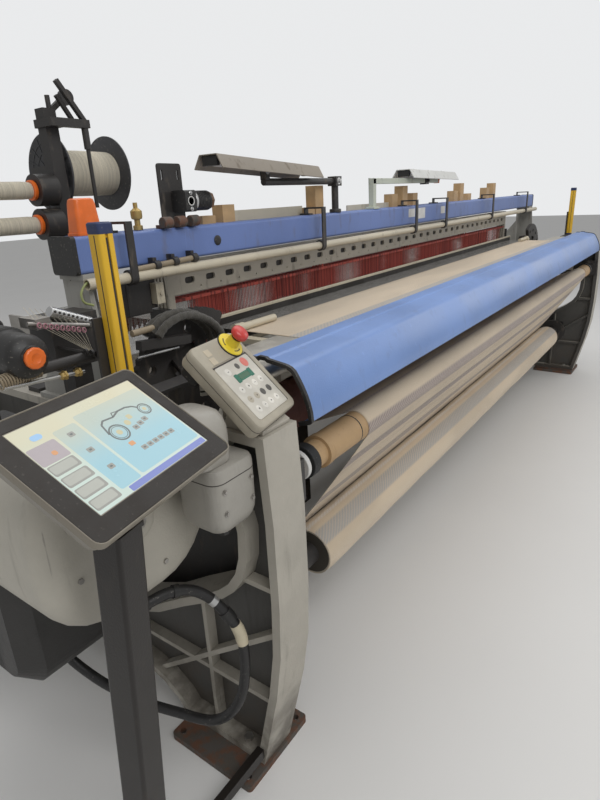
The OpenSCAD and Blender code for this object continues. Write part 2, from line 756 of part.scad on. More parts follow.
module heald_frame_2() {
  heald_frame(2);
}
module heald_frame_3() {
  heald_frame(3);
}
module heald_frame_4() {
  heald_frame(4);
}

// Rapier wheels, their guards and the heads that carry the weft
module rapier_wheel() {
  translate([x_l + wheel_u, y_f + head_v - 2, wheel_z]) rotate([-90, 0, 0]) difference() {
    union() {
      cylinder(r = wheel_r, h = wheel_w, $fn = 96);
      translate([0, 0, -6]) cylinder(r = 42, h = wheel_w + 12);
    }
    translate([0, 0, -7]) cylinder(r = 16 + fit, h = wheel_w + 14);
    for (k = [0:5]) rotate(k * 60) translate([wheel_r * 0.62, 0, -1]) cylinder(r = 22, h = wheel_w + 2);
  }
}
module rapier_wheel_left() {
  color([0.23, 0.22, 0.21]) rapier_wheel();
}
module rapier_wheel_right() {
  color([0.23, 0.22, 0.21]) translate([2 * x_c, 0, 0]) mirror([1, 0, 0]) rapier_wheel();
}
module rapier_head() {
  x1 = x_l + head_end;
  v0 = head_v + (wheel_w - 4 - head_w) / 2;
  along_y = [-90, 0, 0];
  difference() {
    translate([x1, y_f + v0 + head_w, head_z]) rotate([90, 0, 0]) linear_extrude(head_w)
      polygon([[-head_l, 0.4], [0, 0.4], [0, 5], [-14, head_h], [-head_l + 40, head_h], [-head_l, 6]]);
    translate([x1 - 60, y_f + v0 + 6, head_z + 6]) cube([61, head_w - 12, head_h]);
  }
}
module rapier_head_left() {
  color(BLACK) rapier_head();
}
module rapier_head_right() {
  color(BLACK) translate([2 * x_c, 0, 0]) mirror([1, 0, 0]) rapier_head();
}
module rapier_guards() {
  r0 = wheel_r + 14;
  r1 = wheel_r + 100;
  plate_v0 = head_v - 34;
  color([0.25, 0.23, 0.21]) both_sides() {
    difference() {
      translate([x_l + wheel_u, y_f + plate_v0, wheel_z]) rotate([-90, 0, 0]) linear_extrude(22)
        difference() {
          polygon(concat([for (i = [0:32]) let (a = -160 + i * 100 / 32)
              (r1 + (i % 2) * 7) * turn(a)], [for (i = [0:12]) r0 * turn(-60 - i * 100 / 12)]));
          for (k = [0:3]) translate((r0 + r1) / 2 * turn(-72 - k * 25)) circle(13);
        }
    }
    wheel_stub();
  }
}
// Stub shaft of a rapier wheel, held by a bracket that stands on the side frame
module wheel_stub() {
  v0 = head_v - 12;
  translate([x_l + wheel_u, y_f + v0 - 22, wheel_z]) rotate([-90, 0, 0]) cylinder(r = 16, h = 70);
  translate([x_l + wheel_u, y_f + v0 - 22, wheel_z]) rotate([-90, 0, 0]) cylinder(r = 40, h = 16);
  block(inner_l, x_l + wheel_u, v0 - 22, v0 - 6, wheel_z - 36, wheel_z + 36);
  block(inner_l, inner_l + 16, v0 - 60, v0 + 30, wheel_z - 60, wheel_z + 36);
  for (a = [-80, -122]) translate([x_l + wheel_u, y_f + v0 - 22, wheel_z]) rotate([-90, 0, 0])
    linear_extrude(16) rotate(a) translate([0, -16]) square([wheel_r + 24, 32]);
}

// Temples hold the cloth out at the fell
module temples() {
  temple_d = 24;
  temple_l = 160;
  edge = (frame_w - cloth_w) / 2;
  place = [478, cloth_z + cloth_t / 2 + skin + temple_d / 2];
  color(CREAM) both_sides() {
    rod_x(x_l + edge, x_l + edge + temple_l, place, temple_d);
    rod_x(x_l + edge - 40, x_l + edge, place, temple_d + 8);
    block(x_l + edge - 44, x_l + edge - 12, beam_back, place.x - 4, cloth_z - 26, cloth_z - 10);
    block(x_l + edge - 44, x_l + edge - 12, place.x - 20, place.x + 12, cloth_z - 26, place.y);
  }
}

// Big castings and covers at the sides
module gearbox() {
  v0 = cover_v1;
  v1 = 920;
  z0 = 420;
  z1 = rail_h + 5;
  r = 90;
  color([0.66, 0.65, 0.60]) difference() {
    union() {
      hull() for (v = [v0 + r, v1 - r], z = [z0 + r, z1 - r])
        translate([x_l - gearbox_w, y_f + v, z]) rotate([0, 90, 0]) {
          translate([0, 0, 45]) cylinder(r = r, h = gearbox_w - 165, $fn = 32);
          cylinder(r = r - 45, h = 1, $fn = 32);
        }
      translate([x_l - gearbox_w - 14, y_f + 660, 720]) rotate([0, 90, 0]) cylinder(r = 120, h = 40);
      along_x(x_l - 121, x_l - 0.01) translate([640, 680]) round_rect(360, 360, 40);
    }
    translate([x_l - gearbox_w - 15, y_f + 660, 720]) rotate([0, 90, 0]) cylinder(r = 40, h = 22);
    for (a = [0:60:300]) translate([x_l - gearbox_w - 15, y_f + 660, 720]) rotate([0, 90, 0]) rotate(a)
      translate([96, 0, 0]) cylinder(r = 7, h = 14);
  }
}
cover_v0 = 176;
cover_v1 = 420;
cover_top = leg_h + 70;
cover_mid = [-gear_cover_w / 2 - 12, cover_top - gear_cover_h / 2];
module gear_cover() {
  bevel = 34;
  r = 150;
  color([0.74, 0.72, 0.66]) translate([x_l + cover_mid.x, y_f, cover_mid.y]) rotate([90, 0, 0]) {
    translate([0, 0, -cover_v1]) linear_extrude(cover_v1 - cover_v0 - bevel)
      round_rect(gear_cover_w, gear_cover_h, r);
    translate([0, 0, -cover_v0 - bevel]) linear_extrude(bevel * 0.6, scale = 0.95)
      round_rect(gear_cover_w - 3, gear_cover_h - 3, r - 1.5);
    translate([0, 0, -cover_v0 - bevel * 0.4]) linear_extrude(bevel * 0.4, scale = 0.88)
      round_rect(gear_cover_w * 0.93, gear_cover_h * 0.93, r * 0.93);
    translate([0, 0, -cover_v0]) cylinder(r1 = 46, r2 = 40, h = 8);
  }
  elbow();
}
// Elbow below the gear cover that the hose is pushed on
module elbow() {
  r = 17;
  d = hose_dir(0);
  mouth = [x_l, y_f, 0] + hose_route[0] - 0.1 * d;
  color([0.20, 0.20, 0.21]) {
    translate(mouth - 40 * d) rotate([0, acos(d.z), atan2(d.y, d.x)]) cylinder(r = r, h = 40);
    translate(mouth - 40 * d) sphere(r = r + 0.5);
    translate(mouth - 40 * d) cylinder(r = r + 2, h = max(r, cover_top - gear_cover_h + 6 - mouth.z + 40 * d.z));
  }
}
module side_box() {
  box_z = 867;
  box_h = 134;
  color([0.62, 0.61, 0.58]) {
    translate([x_l - 66, y_f + 92, box_z]) linear_extrude(box_h) round_rect(131, 124, 26);
    translate([x_l - 66, y_f + 92, box_z - 26]) linear_extrude(26, scale = 1.35) round_rect(92, 88, 18);
    translate([x_l - 78, y_f + 74, box_z - 40]) cylinder(r = 14, h = 14);
    translate([x_l - 98, y_f + 111, box_z + box_h]) {
      linear_extrude(68) round_rect(104, 129, 34);
      translate([0, 0, 68]) linear_extrude(34, scale = 0.86) round_rect(103, 128, 33.5);
      translate([0, 0, 102]) linear_extrude(14, scale = 0.8) round_rect(88, 109, 28.5);
    }
  }
}
module main_motor() {
  r = 105;
  len = 250;
  place = [frame_d - 160, 700];
  color([0.36, 0.38, 0.40]) {
    rod_x(x_l - len, x_l - 20, place, 2 * r);
    for (i = [0:23]) translate([x_l - len + 20, y_f + place.x, place.y]) rotate([i * 15, 0, 0])
      translate([0, -2, r - 2]) cube([len - 70, 4, 12]);
    rod_x(x_l - len - 26, x_l - len, place, 2 * r - 30);
    along_x(x_l - 20, x_l - 0.01) translate(place) round_rect(2 * r + 90, 2 * r + 50, 30);
  }
}
module dobby() {
  z0 = 340;
  v0 = 430;
  v1 = 1000;
  color([0.64, 0.63, 0.59]) {
    along_x(x_r + 0.01, x_r + dobby_w - 40) translate([(v0 + v1) / 2, (z0 + rail_h) / 2])
      round_rect(v1 - v0, rail_h - z0, 60);
    along_x(x_r + dobby_w - 40, x_r + dobby_w) translate([(v0 + v1) / 2, (z0 + rail_h) / 2])
      round_rect(v1 - v0 - 60, rail_h - z0 - 60, 50);
    for (k = [0:3]) rod_x(x_r + 60 + k * 46, x_r + 92 + k * 46, [v1 - 40, rail_h + 20], 60);
  }
}

// Consoles
console_pos = [x_l - 22, y_f - 6, leg_h + 32];
module on_console() {
  translate(console_pos) rotate([0, 0, console_yaw]) rotate([console_tilt, 0, 0]) children();
}
module console_case() {
  color([0.70, 0.68, 0.62]) difference() {
    union() {
      on_console() {
        translate([console_w / 2, console_l / 2, -console_h]) linear_extrude(console_h - 5)
          round_rect(console_w, console_l, 18);
        translate([console_w / 2, console_l / 2, -5]) linear_extrude(5, scale = 0.97)
          round_rect(console_w - 1, console_l - 1, 17.5);
      }
      intersection() {
        along_x(x_l + 12, x_l + frame_t - 12) polygon([[22, leg_h], [134, leg_h], [118, leg_h + 76],
          [60, leg_h + 60]]);
        on_console() translate([-100, -100, -400]) cube([500, 500, 400 - console_h + 2]);
      }
    }
    on_console() translate([console_w / 2, console_l * 0.40, -1.4]) linear_extrude(5)
      round_rect(132, 142, 8);
  }
}
module keypad() {
  color([0.84, 0.83, 0.80]) on_console() translate([console_w / 2, console_l * 0.40, -1.4]) {
    linear_extrude(1.2) round_rect(130, 140, 7);
    translate([0, 24, 1]) linear_extrude(0.8) round_rect(70, 20, 3);
    for (i = [0:3], j = [0:2]) translate([-42 + i * 28, -52 + j * 24, 1.1]) cylinder(r = 8, h = 1, $fn = 24);
    for (i = [0:2]) translate([-34 + i * 34, 54, 1.1]) cylinder(r = 9, h = 1, $fn = 24);
  }
}
estop_x = 128;
estop_y = 194;
module estop_collar() {
  color([0.93, 0.82, 0.16]) on_console() translate([estop_x, estop_y, 0]) rotate_extrude() difference() {
    polygon([[0, 0.2], [31, 0.2], [31, 4], [28, 6], [16, 7], [14, 26], [0, 26]]);
    square([8 + 0.5, 30]);
  }
}
module estop_button() {
  color([0.80, 0.14, 0.10]) on_console() translate([estop_x, estop_y, 0]) rotate_extrude()
    polygon([[0, 4.4], [8, 4.4], [8, 31], [17, 31], [20, 35], [20, 42], [15, 48], [0, 50]]);
}

module at_terminal() {
  translate([x_l + term_u, y_f + term_v, term_z]) rotate([0, 0, console_yaw]) rotate([term_tilt, 0, 0])
    children();
}
term_axis_z = -term_t - 22;
module terminal_case() {
  color([0.55, 0.54, 0.51]) at_terminal() {
    translate([0, 0, -term_t]) linear_extrude(term_t - term_lip, scale = 1.06)
      round_rect(term_w - 22, term_l - 22, 14);
    translate([0, 0, -term_lip]) linear_extrude(term_lip - 5)
      round_rect(term_w + 2 * term_rim, term_l + 2 * term_rim, term_r);
    translate([0, 0, -5]) linear_extrude(5) difference() {
      round_rect(term_w + 2 * term_rim, term_l + 2 * term_rim, term_r);
      round_rect(term_w + 0.6, term_l + 0.6, 12);
    }
    for (s = [-1, 1]) translate([s * 30 - 5, 0, term_axis_z]) rotate([0, 90, 0]) difference() {
      union() {
        cylinder(r = 15, h = 10);
        translate([-(-term_axis_z - term_t), -15, 0]) cube([-term_axis_z - term_t, 30, 10]);
      }
      translate([0, 0, -1]) cylinder(r = 6 + fit, h = 12);
    }
  }
}
module terminal_screen() {
  color([0.60, 0.78, 0.86]) at_terminal() translate([0, 0, -5]) linear_extrude(4) round_rect(term_w, term_l, 12);
}
// The tilt axis, seen from below it
term_head_y = -term_axis_z * sin(term_tilt);
term_head_z = term_z + term_axis_z * cos(term_tilt);
// The post leans: its foot stands outwards and back from the tilt axis
post_shift = [-50, 40];
post_foot = [term_u - term_head_y * sin(console_yaw), term_v + term_head_y * cos(console_yaw)] + post_shift;
module terminal_post() {
  base = 200;
  hole = base / 2 - 22;
  head_z0 = 980;
  lean = atan(norm(post_shift) / head_z0);
  color(BLACK) {
    translate([x_l + post_foot.x, y_f + post_foot.y, 0]) rotate([0, 0, console_yaw]) difference() {
      linear_extrude(12) round_rect(base, base, 20);
      for (sx = [-1, 1], sy = [-1, 1]) translate([sx * hole, sy * hole, -1]) cylinder(r = 7, h = 14);
    }
    intersection() {
      translate([x_l + post_foot.x, y_f + post_foot.y, 0])
        rotate([0, 0, atan2(-post_shift.y, -post_shift.x)]) rotate([0, lean, 0])
        rotate([0, 0, console_yaw - atan2(-post_shift.y, -post_shift.x)]) translate([0, 0, -20])
        linear_extrude(head_z0 + 40) difference() {
          round_rect(post_s, post_s, 8);
          round_rect(post_s - 8, post_s - 8, 5);
        }
      translate([x_l + post_foot.x - 100, y_f + post_foot.y - 200, 12]) cube([300, 400, head_z0 - 12]);
    }
    translate([x_l + term_u, y_f + term_v, 0]) rotate([0, 0, console_yaw]) {
      translate([0, term_head_y, head_z0]) linear_extrude(8) round_rect(post_s + 6, post_s + 6, 8);
      translate([0, term_head_y, head_z0 + 8]) linear_extrude(term_head_z - head_z0 - 8 - 16)
        round_rect(46, 30, 5);
    }
    block(x_l + post_foot.x + post_s / 2 - 14, x_l, 92, 114, 50, 80);
    at_terminal() {
      translate([-24.7, 0, term_axis_z]) rotate([0, 90, 0]) cylinder(r = 16, h = 49.4);
      for (s = [-1, 1]) translate([s * 31 - 10, 0, term_axis_z]) rotate([0, 90, 0]) cylinder(r = 6, h = 20);
    }
  }
}

// Light curtains: a grooved profile at each end of the weaver's side
curtain_w = 34;
curtain_d = 38;
module light_curtains() {
  curtain_u = -116;
  curtain_v = 286;
  low_z = 1110;
  high_z = 1462;
  color([0.92, 0.70, 0.10]) both_sides() {
    translate([x_l + curtain_u, y_f + curtain_v, low_z]) linear_extrude(high_z - low_z) difference() {
      round_rect(curtain_w, curtain_d, 5);
      translate([0, -curtain_d / 2]) round_rect(6, 9, 2.9);
    }
    translate([x_l + curtain_u, y_f + curtain_v, high_z]) linear_extrude(14) round_rect(curtain_w + 2, curtain_d + 2, 5);
    translate([x_l + curtain_u - 16, y_f + curtain_v + curtain_d / 2 - 1, low_z]) cube([32, 8, 180]);
    block(x_l + curtain_u - 18, x_l + 70, curtain_v - 28, curtain_v + 28, low_z - 8, low_z);
    block(x_l + 20, x_l + 70, curtain_v - 28, curtain_v + 28, rail_h, low_z - 8);
  }
}

// Units of the weft supply, at the left end of the machine
module weft_selector() {
  u0 = -150;
  v0 = 430;
  z0 = 1225;
  color([0.30, 0.29, 0.28]) {
    block(x_l + u0, x_l + u0 + 120, v0 + 40, v0 + 130, z0 - 70, z0 + 50);
    for (i = [0:7]) translate([x_l + u0 + 8 + i * 14, y_f + v0 - 60, z0 - 16 - i * 6]) {
      cube([3, 104, 5]);
      translate([1.5, -2, 2.5]) rotate([0, 90, 0]) difference() {
        cylinder(r = 8, h = 5, center = true, $fn = 24);
        cylinder(r = 3.5, h = 6, center = true, $fn = 24);
      }
    }
    block(x_l + u0 + 40, x_l + u0 + 90, v0 + 50, v0 + 100, rail_h, z0 - 70);
    block(x_l + u0 + 40, x_l + 48, v0 + 50, v0 + 100, rail_h, rail_h + 14);
  }
}
stand_u = 228;
stand_v = bracket_v1 + 70;
module spool_stand() {
  s = 40;
  x = x_l + stand_u;
  color([0.20, 0.20, 0.21]) {
    block(x - s / 2, x + s / 2, stand_v - s / 2, stand_v + s / 2, rail_h + 14, stand_top);
    block(x_l + 20, x + s / 2, stand_v - 30, stand_v + 30, rail_h, rail_h + 14);
    block(x - s / 2, x + s / 2, stand_v + s / 2, spool_v + 16, spool_z - 16, spool_z + 16);
    rod_x(x + s / 2 - 2, x + 270, [spool_v, spool_z], 20);
    for (z = tube_z) {
      rod_x(x - hub_l, x - s / 2, [stand_v, z], 88);
      rod_x(x - 330, x - hub_l, [stand_v, z], 18);
    }
    block(x - 26, x + 26, stand_v - 60, stand_v + 26, arm_z, arm_z + 22);
    block(x - 26, x + 100, stand_v - 60, stand_v - 36, arm_z, arm_z + 22);
    translate([x + 84, y_f + stand_v - 56, arm_z + 16]) rotate([0, -36, 0]) cube([12, 14, 122]);
    translate([x + 62, y_f + stand_v - 40, arm_z + 10]) rotate([0, -33, 0]) cube([10, 12, 84]);
    translate([x, y_f + stand_v - 8, stand_top - 8]) rotate([0, 52, 0]) cube([14, 16, 84]);
    translate([x + 74, y_f + stand_v + 9, 1808]) rotate([90, 0, 0]) cylinder(r = 21, h = 18);
    translate([x + 14, y_f + stand_v, stand_top - 6]) cylinder(r = 7, h = 42);
    translate([x + 88, y_f + stand_v - 48, 1500]) cylinder(r = 6, h = arm_z - 1498);
    translate([x + 88, y_f + stand_v - 48, 1665]) cylinder(r = 10, h = arm_z - 1663);
  }
}
stand_top = 1772;
arm_z = 1722;
hub_l = 81;
spool_v = 1010;
spool_z = 1605;
tube_z = [1555, 1461];
module big_spool() {
  x = x_l + stand_u + 30;
  len = 216;
  color(BLACK) difference() {
    union() {
      rod_x(x, x + 6, [spool_v, spool_z], 230);
      rod_x(x + len - 6, x + len, [spool_v, spool_z], 230);
      rod_x(x + 6, x + len - 6, [spool_v, spool_z], 136);
    }
    rod_x(x - 1, x + len + 1, [spool_v, spool_z], 20 + 2 * fit);
  }
}
module yarn_tubes() {
  x = x_l + stand_u;
  color(CREAM) for (z = tube_z) difference() {
    rod_x(x - 320, x - hub_l - 0.5, [stand_v, z], 48);
    rod_x(x - 321, x - hub_l, [stand_v, z], 18.4);
  }
}
module weft_feeder() {
  feeder_u = -270;
  z0 = 1235;
  color(BLACK) {
    translate([x_l + feeder_u, y_f + 520, z0]) rotate([90, 0, 0]) {
      cylinder(r = 52, h = 90);
      translate([0, 0, 90]) cylinder(r = 44, h = 70);
      translate([0, 0, 160]) cylinder(r1 = 44, r2 = 24, h = 16);
      translate([0, 0, 176]) cylinder(r = 22, h = 12);
    }
    block(x_l + feeder_u - 40, x_l + feeder_u + 40, 500, 620, z0 - 58, z0 + 58);
    block(x_l + feeder_u - 12, x_l + feeder_u + 12, 560, 590, rail_h + 16, z0 - 58);
    block(x_l + feeder_u - 12, x_l + 20, 560, 590, rail_h + 16, rail_h + 36);
  }
}
module selvedge_motor() {
  u0 = 350;
  color(BLACK) {
    block(x_l + u0, x_l + u0 + 90, beam_v0 + 60, beam_v0 + 66, beam_top, beam_top + 175);
    block(x_l + u0, x_l + u0 + 90, beam_v0 + 20, beam_v0 + 66, beam_top, beam_top + 8);
    block(x_l + u0 + 40, x_l + u0 + 84, beam_v0, beam_v0 + 60, beam_top + 40, beam_top + 100);
    rod_x(x_l + u0 + 84, x_l + u0 + 160, [beam_v0 + 28, beam_top + 70], 58);
    rod_x(x_l + u0 + 160, x_l + u0 + 168, [beam_v0 + 28, beam_top + 70], 50);
  }
}
module signal_lamp() {
  color([0.93, 0.36, 0.08]) translate([x_l + 74, y_f + beam_mid.x - 6, beam_top])
    linear_extrude(88, scale = 0.78) round_rect(74, 54, 8);
}

// Lamps: a trough of bent sheet on an arm. The left arm is a rod that reaches to the left of
// its post, and the right arm is a square bar that reaches to the right of its post.
lamp_u = [1240, 1560];
shade_v = beam_v0 + 24;
module shade(u, z, len, tilt) {
  translate([x_l + u, y_f + shade_v, z]) rotate([0, tilt, 0]) rotate([90, 0, 90]) linear_extrude(len)
    polygon([[-60, -6], [-36, 34], [36, 34], [60, -6], [57, -8], [34, 31], [-34, 31], [-57, -8]]);
}
module lamp_left() {
  u = lamp_u[0];
  z = beam_top + 120;
  color([0.10, 0.10, 0.10]) {
    translate([x_l + u, y_f + shade_v, beam_top + skin]) cylinder(r = 14, h = z - beam_top - 8);
    translate([x_l + u, y_f + shade_v, beam_top + skin]) cylinder(r = 24, h = 14);
    rod_x(x_l + u - 460, x_l + u + 20, [shade_v, z], 24);
    block(x_l + u - 460, x_l + u - 436, shade_v - 12, shade_v + 12, z + 8, z + 64);
  }
  color([0.55, 0.52, 0.46]) shade(u - 720, z + 46, 550, 3);
}
module lamp_right() {
  u = lamp_u[1];
  z = beam_top + 106;
  color([0.70, 0.72, 0.66]) {
    block(x_l + u - 14, x_l + u + 14, shade_v - 12, shade_v + 12, beam_top + skin, z + 24);
    translate([x_l + u, y_f + shade_v, beam_top + skin]) cylinder(r = 24, h = 12);
    block(x_l + u - 14, x_l + u + 740, shade_v - 12, shade_v + 12, z, z + 24);
    block(x_l + u + 560, x_l + u + 584, shade_v - 12, shade_v + 12, z + 20, z + 58);
  }
  color([0.86, 0.86, 0.84]) shade(u + 311, z + 30, 600, 1);
}

// Drain hose from an elbow below the gear cover, down past the leg and back under the gearbox
hose_r = 13;
hose_route = [[-205, 205, 672], [-161, 196, 670], [-119, 183, 658], [-87, 164, 635], [-66, 140, 603],
  [-53, 117, 566], [-41, 101, 526], [-38, 92, 482], [-42, 87, 437], [-50, 85, 393], [-64, 86, 350],
  [-82, 98, 311], [-98, 124, 278], [-111, 161, 256], [-120, 204, 245], [-130, 248, 242], [-143, 291, 242],
  [-157, 334, 245], [-170, 377, 250], [-182, 420, 258], [-194, 462, 269], [-205, 502, 285],
  [-216, 540, 307], [-228, 572, 337], [-237, 593, 376], [-240, 600, 417.6]];
function unit(v) = v / norm(v);
function hose_dir(i) = unit(hose_route[min(i + 1, len(hose_route) - 1)] - hose_route[max(i - 1, 0)]);
module hose() {
  sides = 10;
  n = len(hose_route);
  rings = [for (i = [0:n - 1]) let (d = hose_dir(i), a = unit(cross(d, [0.3, 1, 0.2])), b = cross(d, a))
    for (k = [0:sides - 1]) hose_route[i] + hose_r * (cos(k * 360 / sides) * a + sin(k * 360 / sides) * b)];
  color(BLACK) translate([x_l, y_f, 0]) polyhedron(rings, concat(
    [[for (k = [0:sides - 1]) k]],
    [for (i = [0:n - 2], k = [0:sides - 1]) [i * sides + k, (i + 1) * sides + k,
      (i + 1) * sides + (k + 1) % sides, i * sides + (k + 1) % sides]],
    [[for (k = [sides - 1:-1:0]) (n - 1) * sides + k]]));
}

left_side_frame();
right_side_frame();
tie_beams();
floor_plates();
foot_bolts();
top_beam();
end_caps();
beam_brackets();
guard_rail();
rail_hooks();
heald_guides();
breast_beam();
breast_cover();
roller_brackets();
fabric();
warp_sheet();
drop_wire_rack();
gearbox();
gear_cover();
side_box();
main_motor();
dobby();
console_case();
keypad();
estop_collar();
estop_button();
terminal_post();
terminal_case();
terminal_screen();
light_curtains();
rapier_guards();
weft_selector();
spool_stand();
yarn_tubes();
big_spool();
weft_feeder();
selvedge_motor();
signal_lamp();
temples();
lamp_left();
lamp_right();
hose();
rocker_shaft();
sley_beam();
reed();
heald_frame_1();
heald_frame_2();
heald_frame_3();
heald_frame_4();
take_up_roller();
guide_tube();
cloth_roll();
cloth_winding();
warp_beam();
warp_winding();
back_rest_roller();
rapier_wheel_left();
rapier_wheel_right();
rapier_head_left();
rapier_head_right();
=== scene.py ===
import json
import math
import random

import bmesh
import bpy
from mathutils import Matrix, Vector
from mathutils.geometry import tessellate_polygon


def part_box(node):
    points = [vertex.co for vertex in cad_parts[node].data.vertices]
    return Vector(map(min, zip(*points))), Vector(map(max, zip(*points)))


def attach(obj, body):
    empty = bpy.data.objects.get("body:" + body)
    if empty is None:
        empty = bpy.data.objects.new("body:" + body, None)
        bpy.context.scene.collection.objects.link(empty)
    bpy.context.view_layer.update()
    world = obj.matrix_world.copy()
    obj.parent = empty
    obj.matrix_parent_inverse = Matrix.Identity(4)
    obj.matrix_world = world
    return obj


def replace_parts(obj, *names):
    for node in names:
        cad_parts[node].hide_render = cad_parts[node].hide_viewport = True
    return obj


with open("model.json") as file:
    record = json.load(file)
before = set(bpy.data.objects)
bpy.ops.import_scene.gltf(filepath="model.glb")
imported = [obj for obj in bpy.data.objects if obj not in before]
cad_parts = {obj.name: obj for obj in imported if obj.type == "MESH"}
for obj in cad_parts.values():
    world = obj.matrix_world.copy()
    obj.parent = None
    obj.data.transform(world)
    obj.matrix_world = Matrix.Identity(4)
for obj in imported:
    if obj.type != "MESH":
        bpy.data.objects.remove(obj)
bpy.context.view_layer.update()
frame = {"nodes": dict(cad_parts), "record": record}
dice = random.Random(7)

# Places are given as at(u, v, z): u along the machine from the left side frame's outer face,
# v back from the front of the legs, z above the floor, all in metres; tables inside mm() are in millimetres.
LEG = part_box("left_side_frame")[0]
FRAME_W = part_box("right_side_frame")[1][0] - LEG[0]
CLOTH_W = 3.32
MIDDLE = FRAME_W / 2


def at(u, v, z):
    return Vector((LEG[0] + u, LEG[1] + v, z))


def mm(lengths):
    """Lengths given in millimetres, nested as they come, as metres."""
    return [mm(part) for part in lengths] if hasattr(lengths, "__len__") else lengths / 1000


class Value:
    """A shader socket that takes part in Python expressions."""

    def __init__(self, finish, socket):
        self.finish, self.socket = finish, socket

    def math(self, operation, *others):
        return self.finish.node("Math", {"operation": operation}, dict(enumerate((self, *others))))

    def __add__(self, other):
        return self.math("ADD", other)

    def __sub__(self, other):
        return self.math("SUBTRACT", other)

    def __mul__(self, other):
        return self.math("MULTIPLY", other)

    def sine(self):
        return self.math("SINE")

    def absolute(self):
        return self.math("ABSOLUTE")

    def floor(self):
        return self.math("FLOOR")

    def smooth(self, low, high, to_low=0.0, to_high=1.0):
        return self.finish.node("MapRange", {"interpolation_type": "SMOOTHSTEP"},
            {"Value": self, "From Min": low, "From Max": high, "To Min": to_low, "To Max": to_high})


MATERIALS = {}


class Finish:
    """One procedural material, kept in MATERIALS under its name, with helpers that add its nodes."""

    def __init__(self, name, color, roughness=0.5, metallic=0.0, **sockets):
        self.material = bpy.data.materials.new(name)
        self.material.use_nodes = True
        self.tree = self.material.node_tree
        self.shader = self.tree.nodes["Principled BSDF"]
        self.set(Base_Color=color, Roughness=roughness, Metallic=metallic, **sockets)
        MATERIALS[name] = self.material

    def plug(self, socket, value):
        if isinstance(value, Value):
            self.tree.links.new(value.socket, socket)
        elif hasattr(value, "__len__") and len(value) == 3 and socket.type == "RGBA":
            socket.default_value = (*value, 1.0)
        else:
            socket.default_value = value

    def node(self, kind, settings=None, values=None, out=0):
        made = self.tree.nodes.new("ShaderNode" + kind)
        for key, value in (settings or {}).items():
            if key == "stops":
                ramp = made.color_ramp.elements
                while len(ramp) < len(value):
                    ramp.new(0.5)
                for element, (place, color) in zip(ramp, value):
                    element.position = place
                    element.color = (*color, 1.0)
            else:
                setattr(made, key, value)
        for key, value in (values or {}).items():
            self.plug(made.inputs[key], value)
        return Value(self, made.outputs[out])

    def set(self, **values):
        for key, value in values.items():
            self.plug(self.shader.inputs[key.replace("_", " ")], value)

    def place(self, scale=(1, 1, 1)):
        place = self.node("TexCoord", out="Object")
        return self.node("Mapping", values={"Vector": place, "Scale": scale})

    def split(self, vector):
        """The x, y and z of a vector."""
        parts = self.tree.nodes.new("ShaderNodeSeparateXYZ")
        self.plug(parts.inputs[0], vector)
        return [Value(self, socket) for socket in parts.outputs]

    def xyz(self, space="Object"):
        return self.split(self.node("TexCoord", out=space))

    def noise(self, size, detail, stretch=(1, 1, 1)):
        return self.node("TexNoise", values={"Vector": self.place(stretch), "Scale": 1 / size, "Detail": detail,
            "Roughness": 0.55})

    def mix(self, mask, a, b, blend="MIX"):
        return self.node("Mix", {"data_type": "RGBA", "blend_type": blend}, {0: mask, 6: a, 7: b}, out=2)

    def bump(self, height, depth):
        self.set(Normal=self.node("Bump", {}, {"Strength": 1.0, "Distance": depth, "Height": height}))


def shade(color, factor):
    return tuple(min(1.0, c * factor) for c in color)


def painted(name, color, roughness=0.4, dust=0.25, chips=0.0):
    """Paint on metal, with patches, settled dust, fine scratches and chips down to dark metal."""
    f = Finish(name, color, roughness)
    patches = f.noise(0.35, 4).smooth(0.35, 0.7)
    scuffs = f.noise(0.03, 5, (1, 1, 0.35)).smooth(0.56, 0.72) * dust
    scratches = f.noise(0.012, 6, (1, 1, 0.06)).smooth(0.66, 0.72)
    tone = f.mix(patches, shade(color, 0.9), shade(color, 1.06))
    tone = f.mix(scuffs, tone, (0.16, 0.13, 0.1))
    tone = f.mix(scratches * 0.35, tone, shade(color, 1.3))
    if chips:
        spots = f.noise(0.018, 4).smooth(0.74 - chips, 0.76 - chips)
        tone = f.mix(spots, tone, (0.07, 0.06, 0.055))
    f.set(Base_Color=tone, Roughness=scuffs * 0.5 + patches * 0.12 + roughness)
    f.bump(f.noise(0.004, 2) + scratches * 0.4, 0.0004)


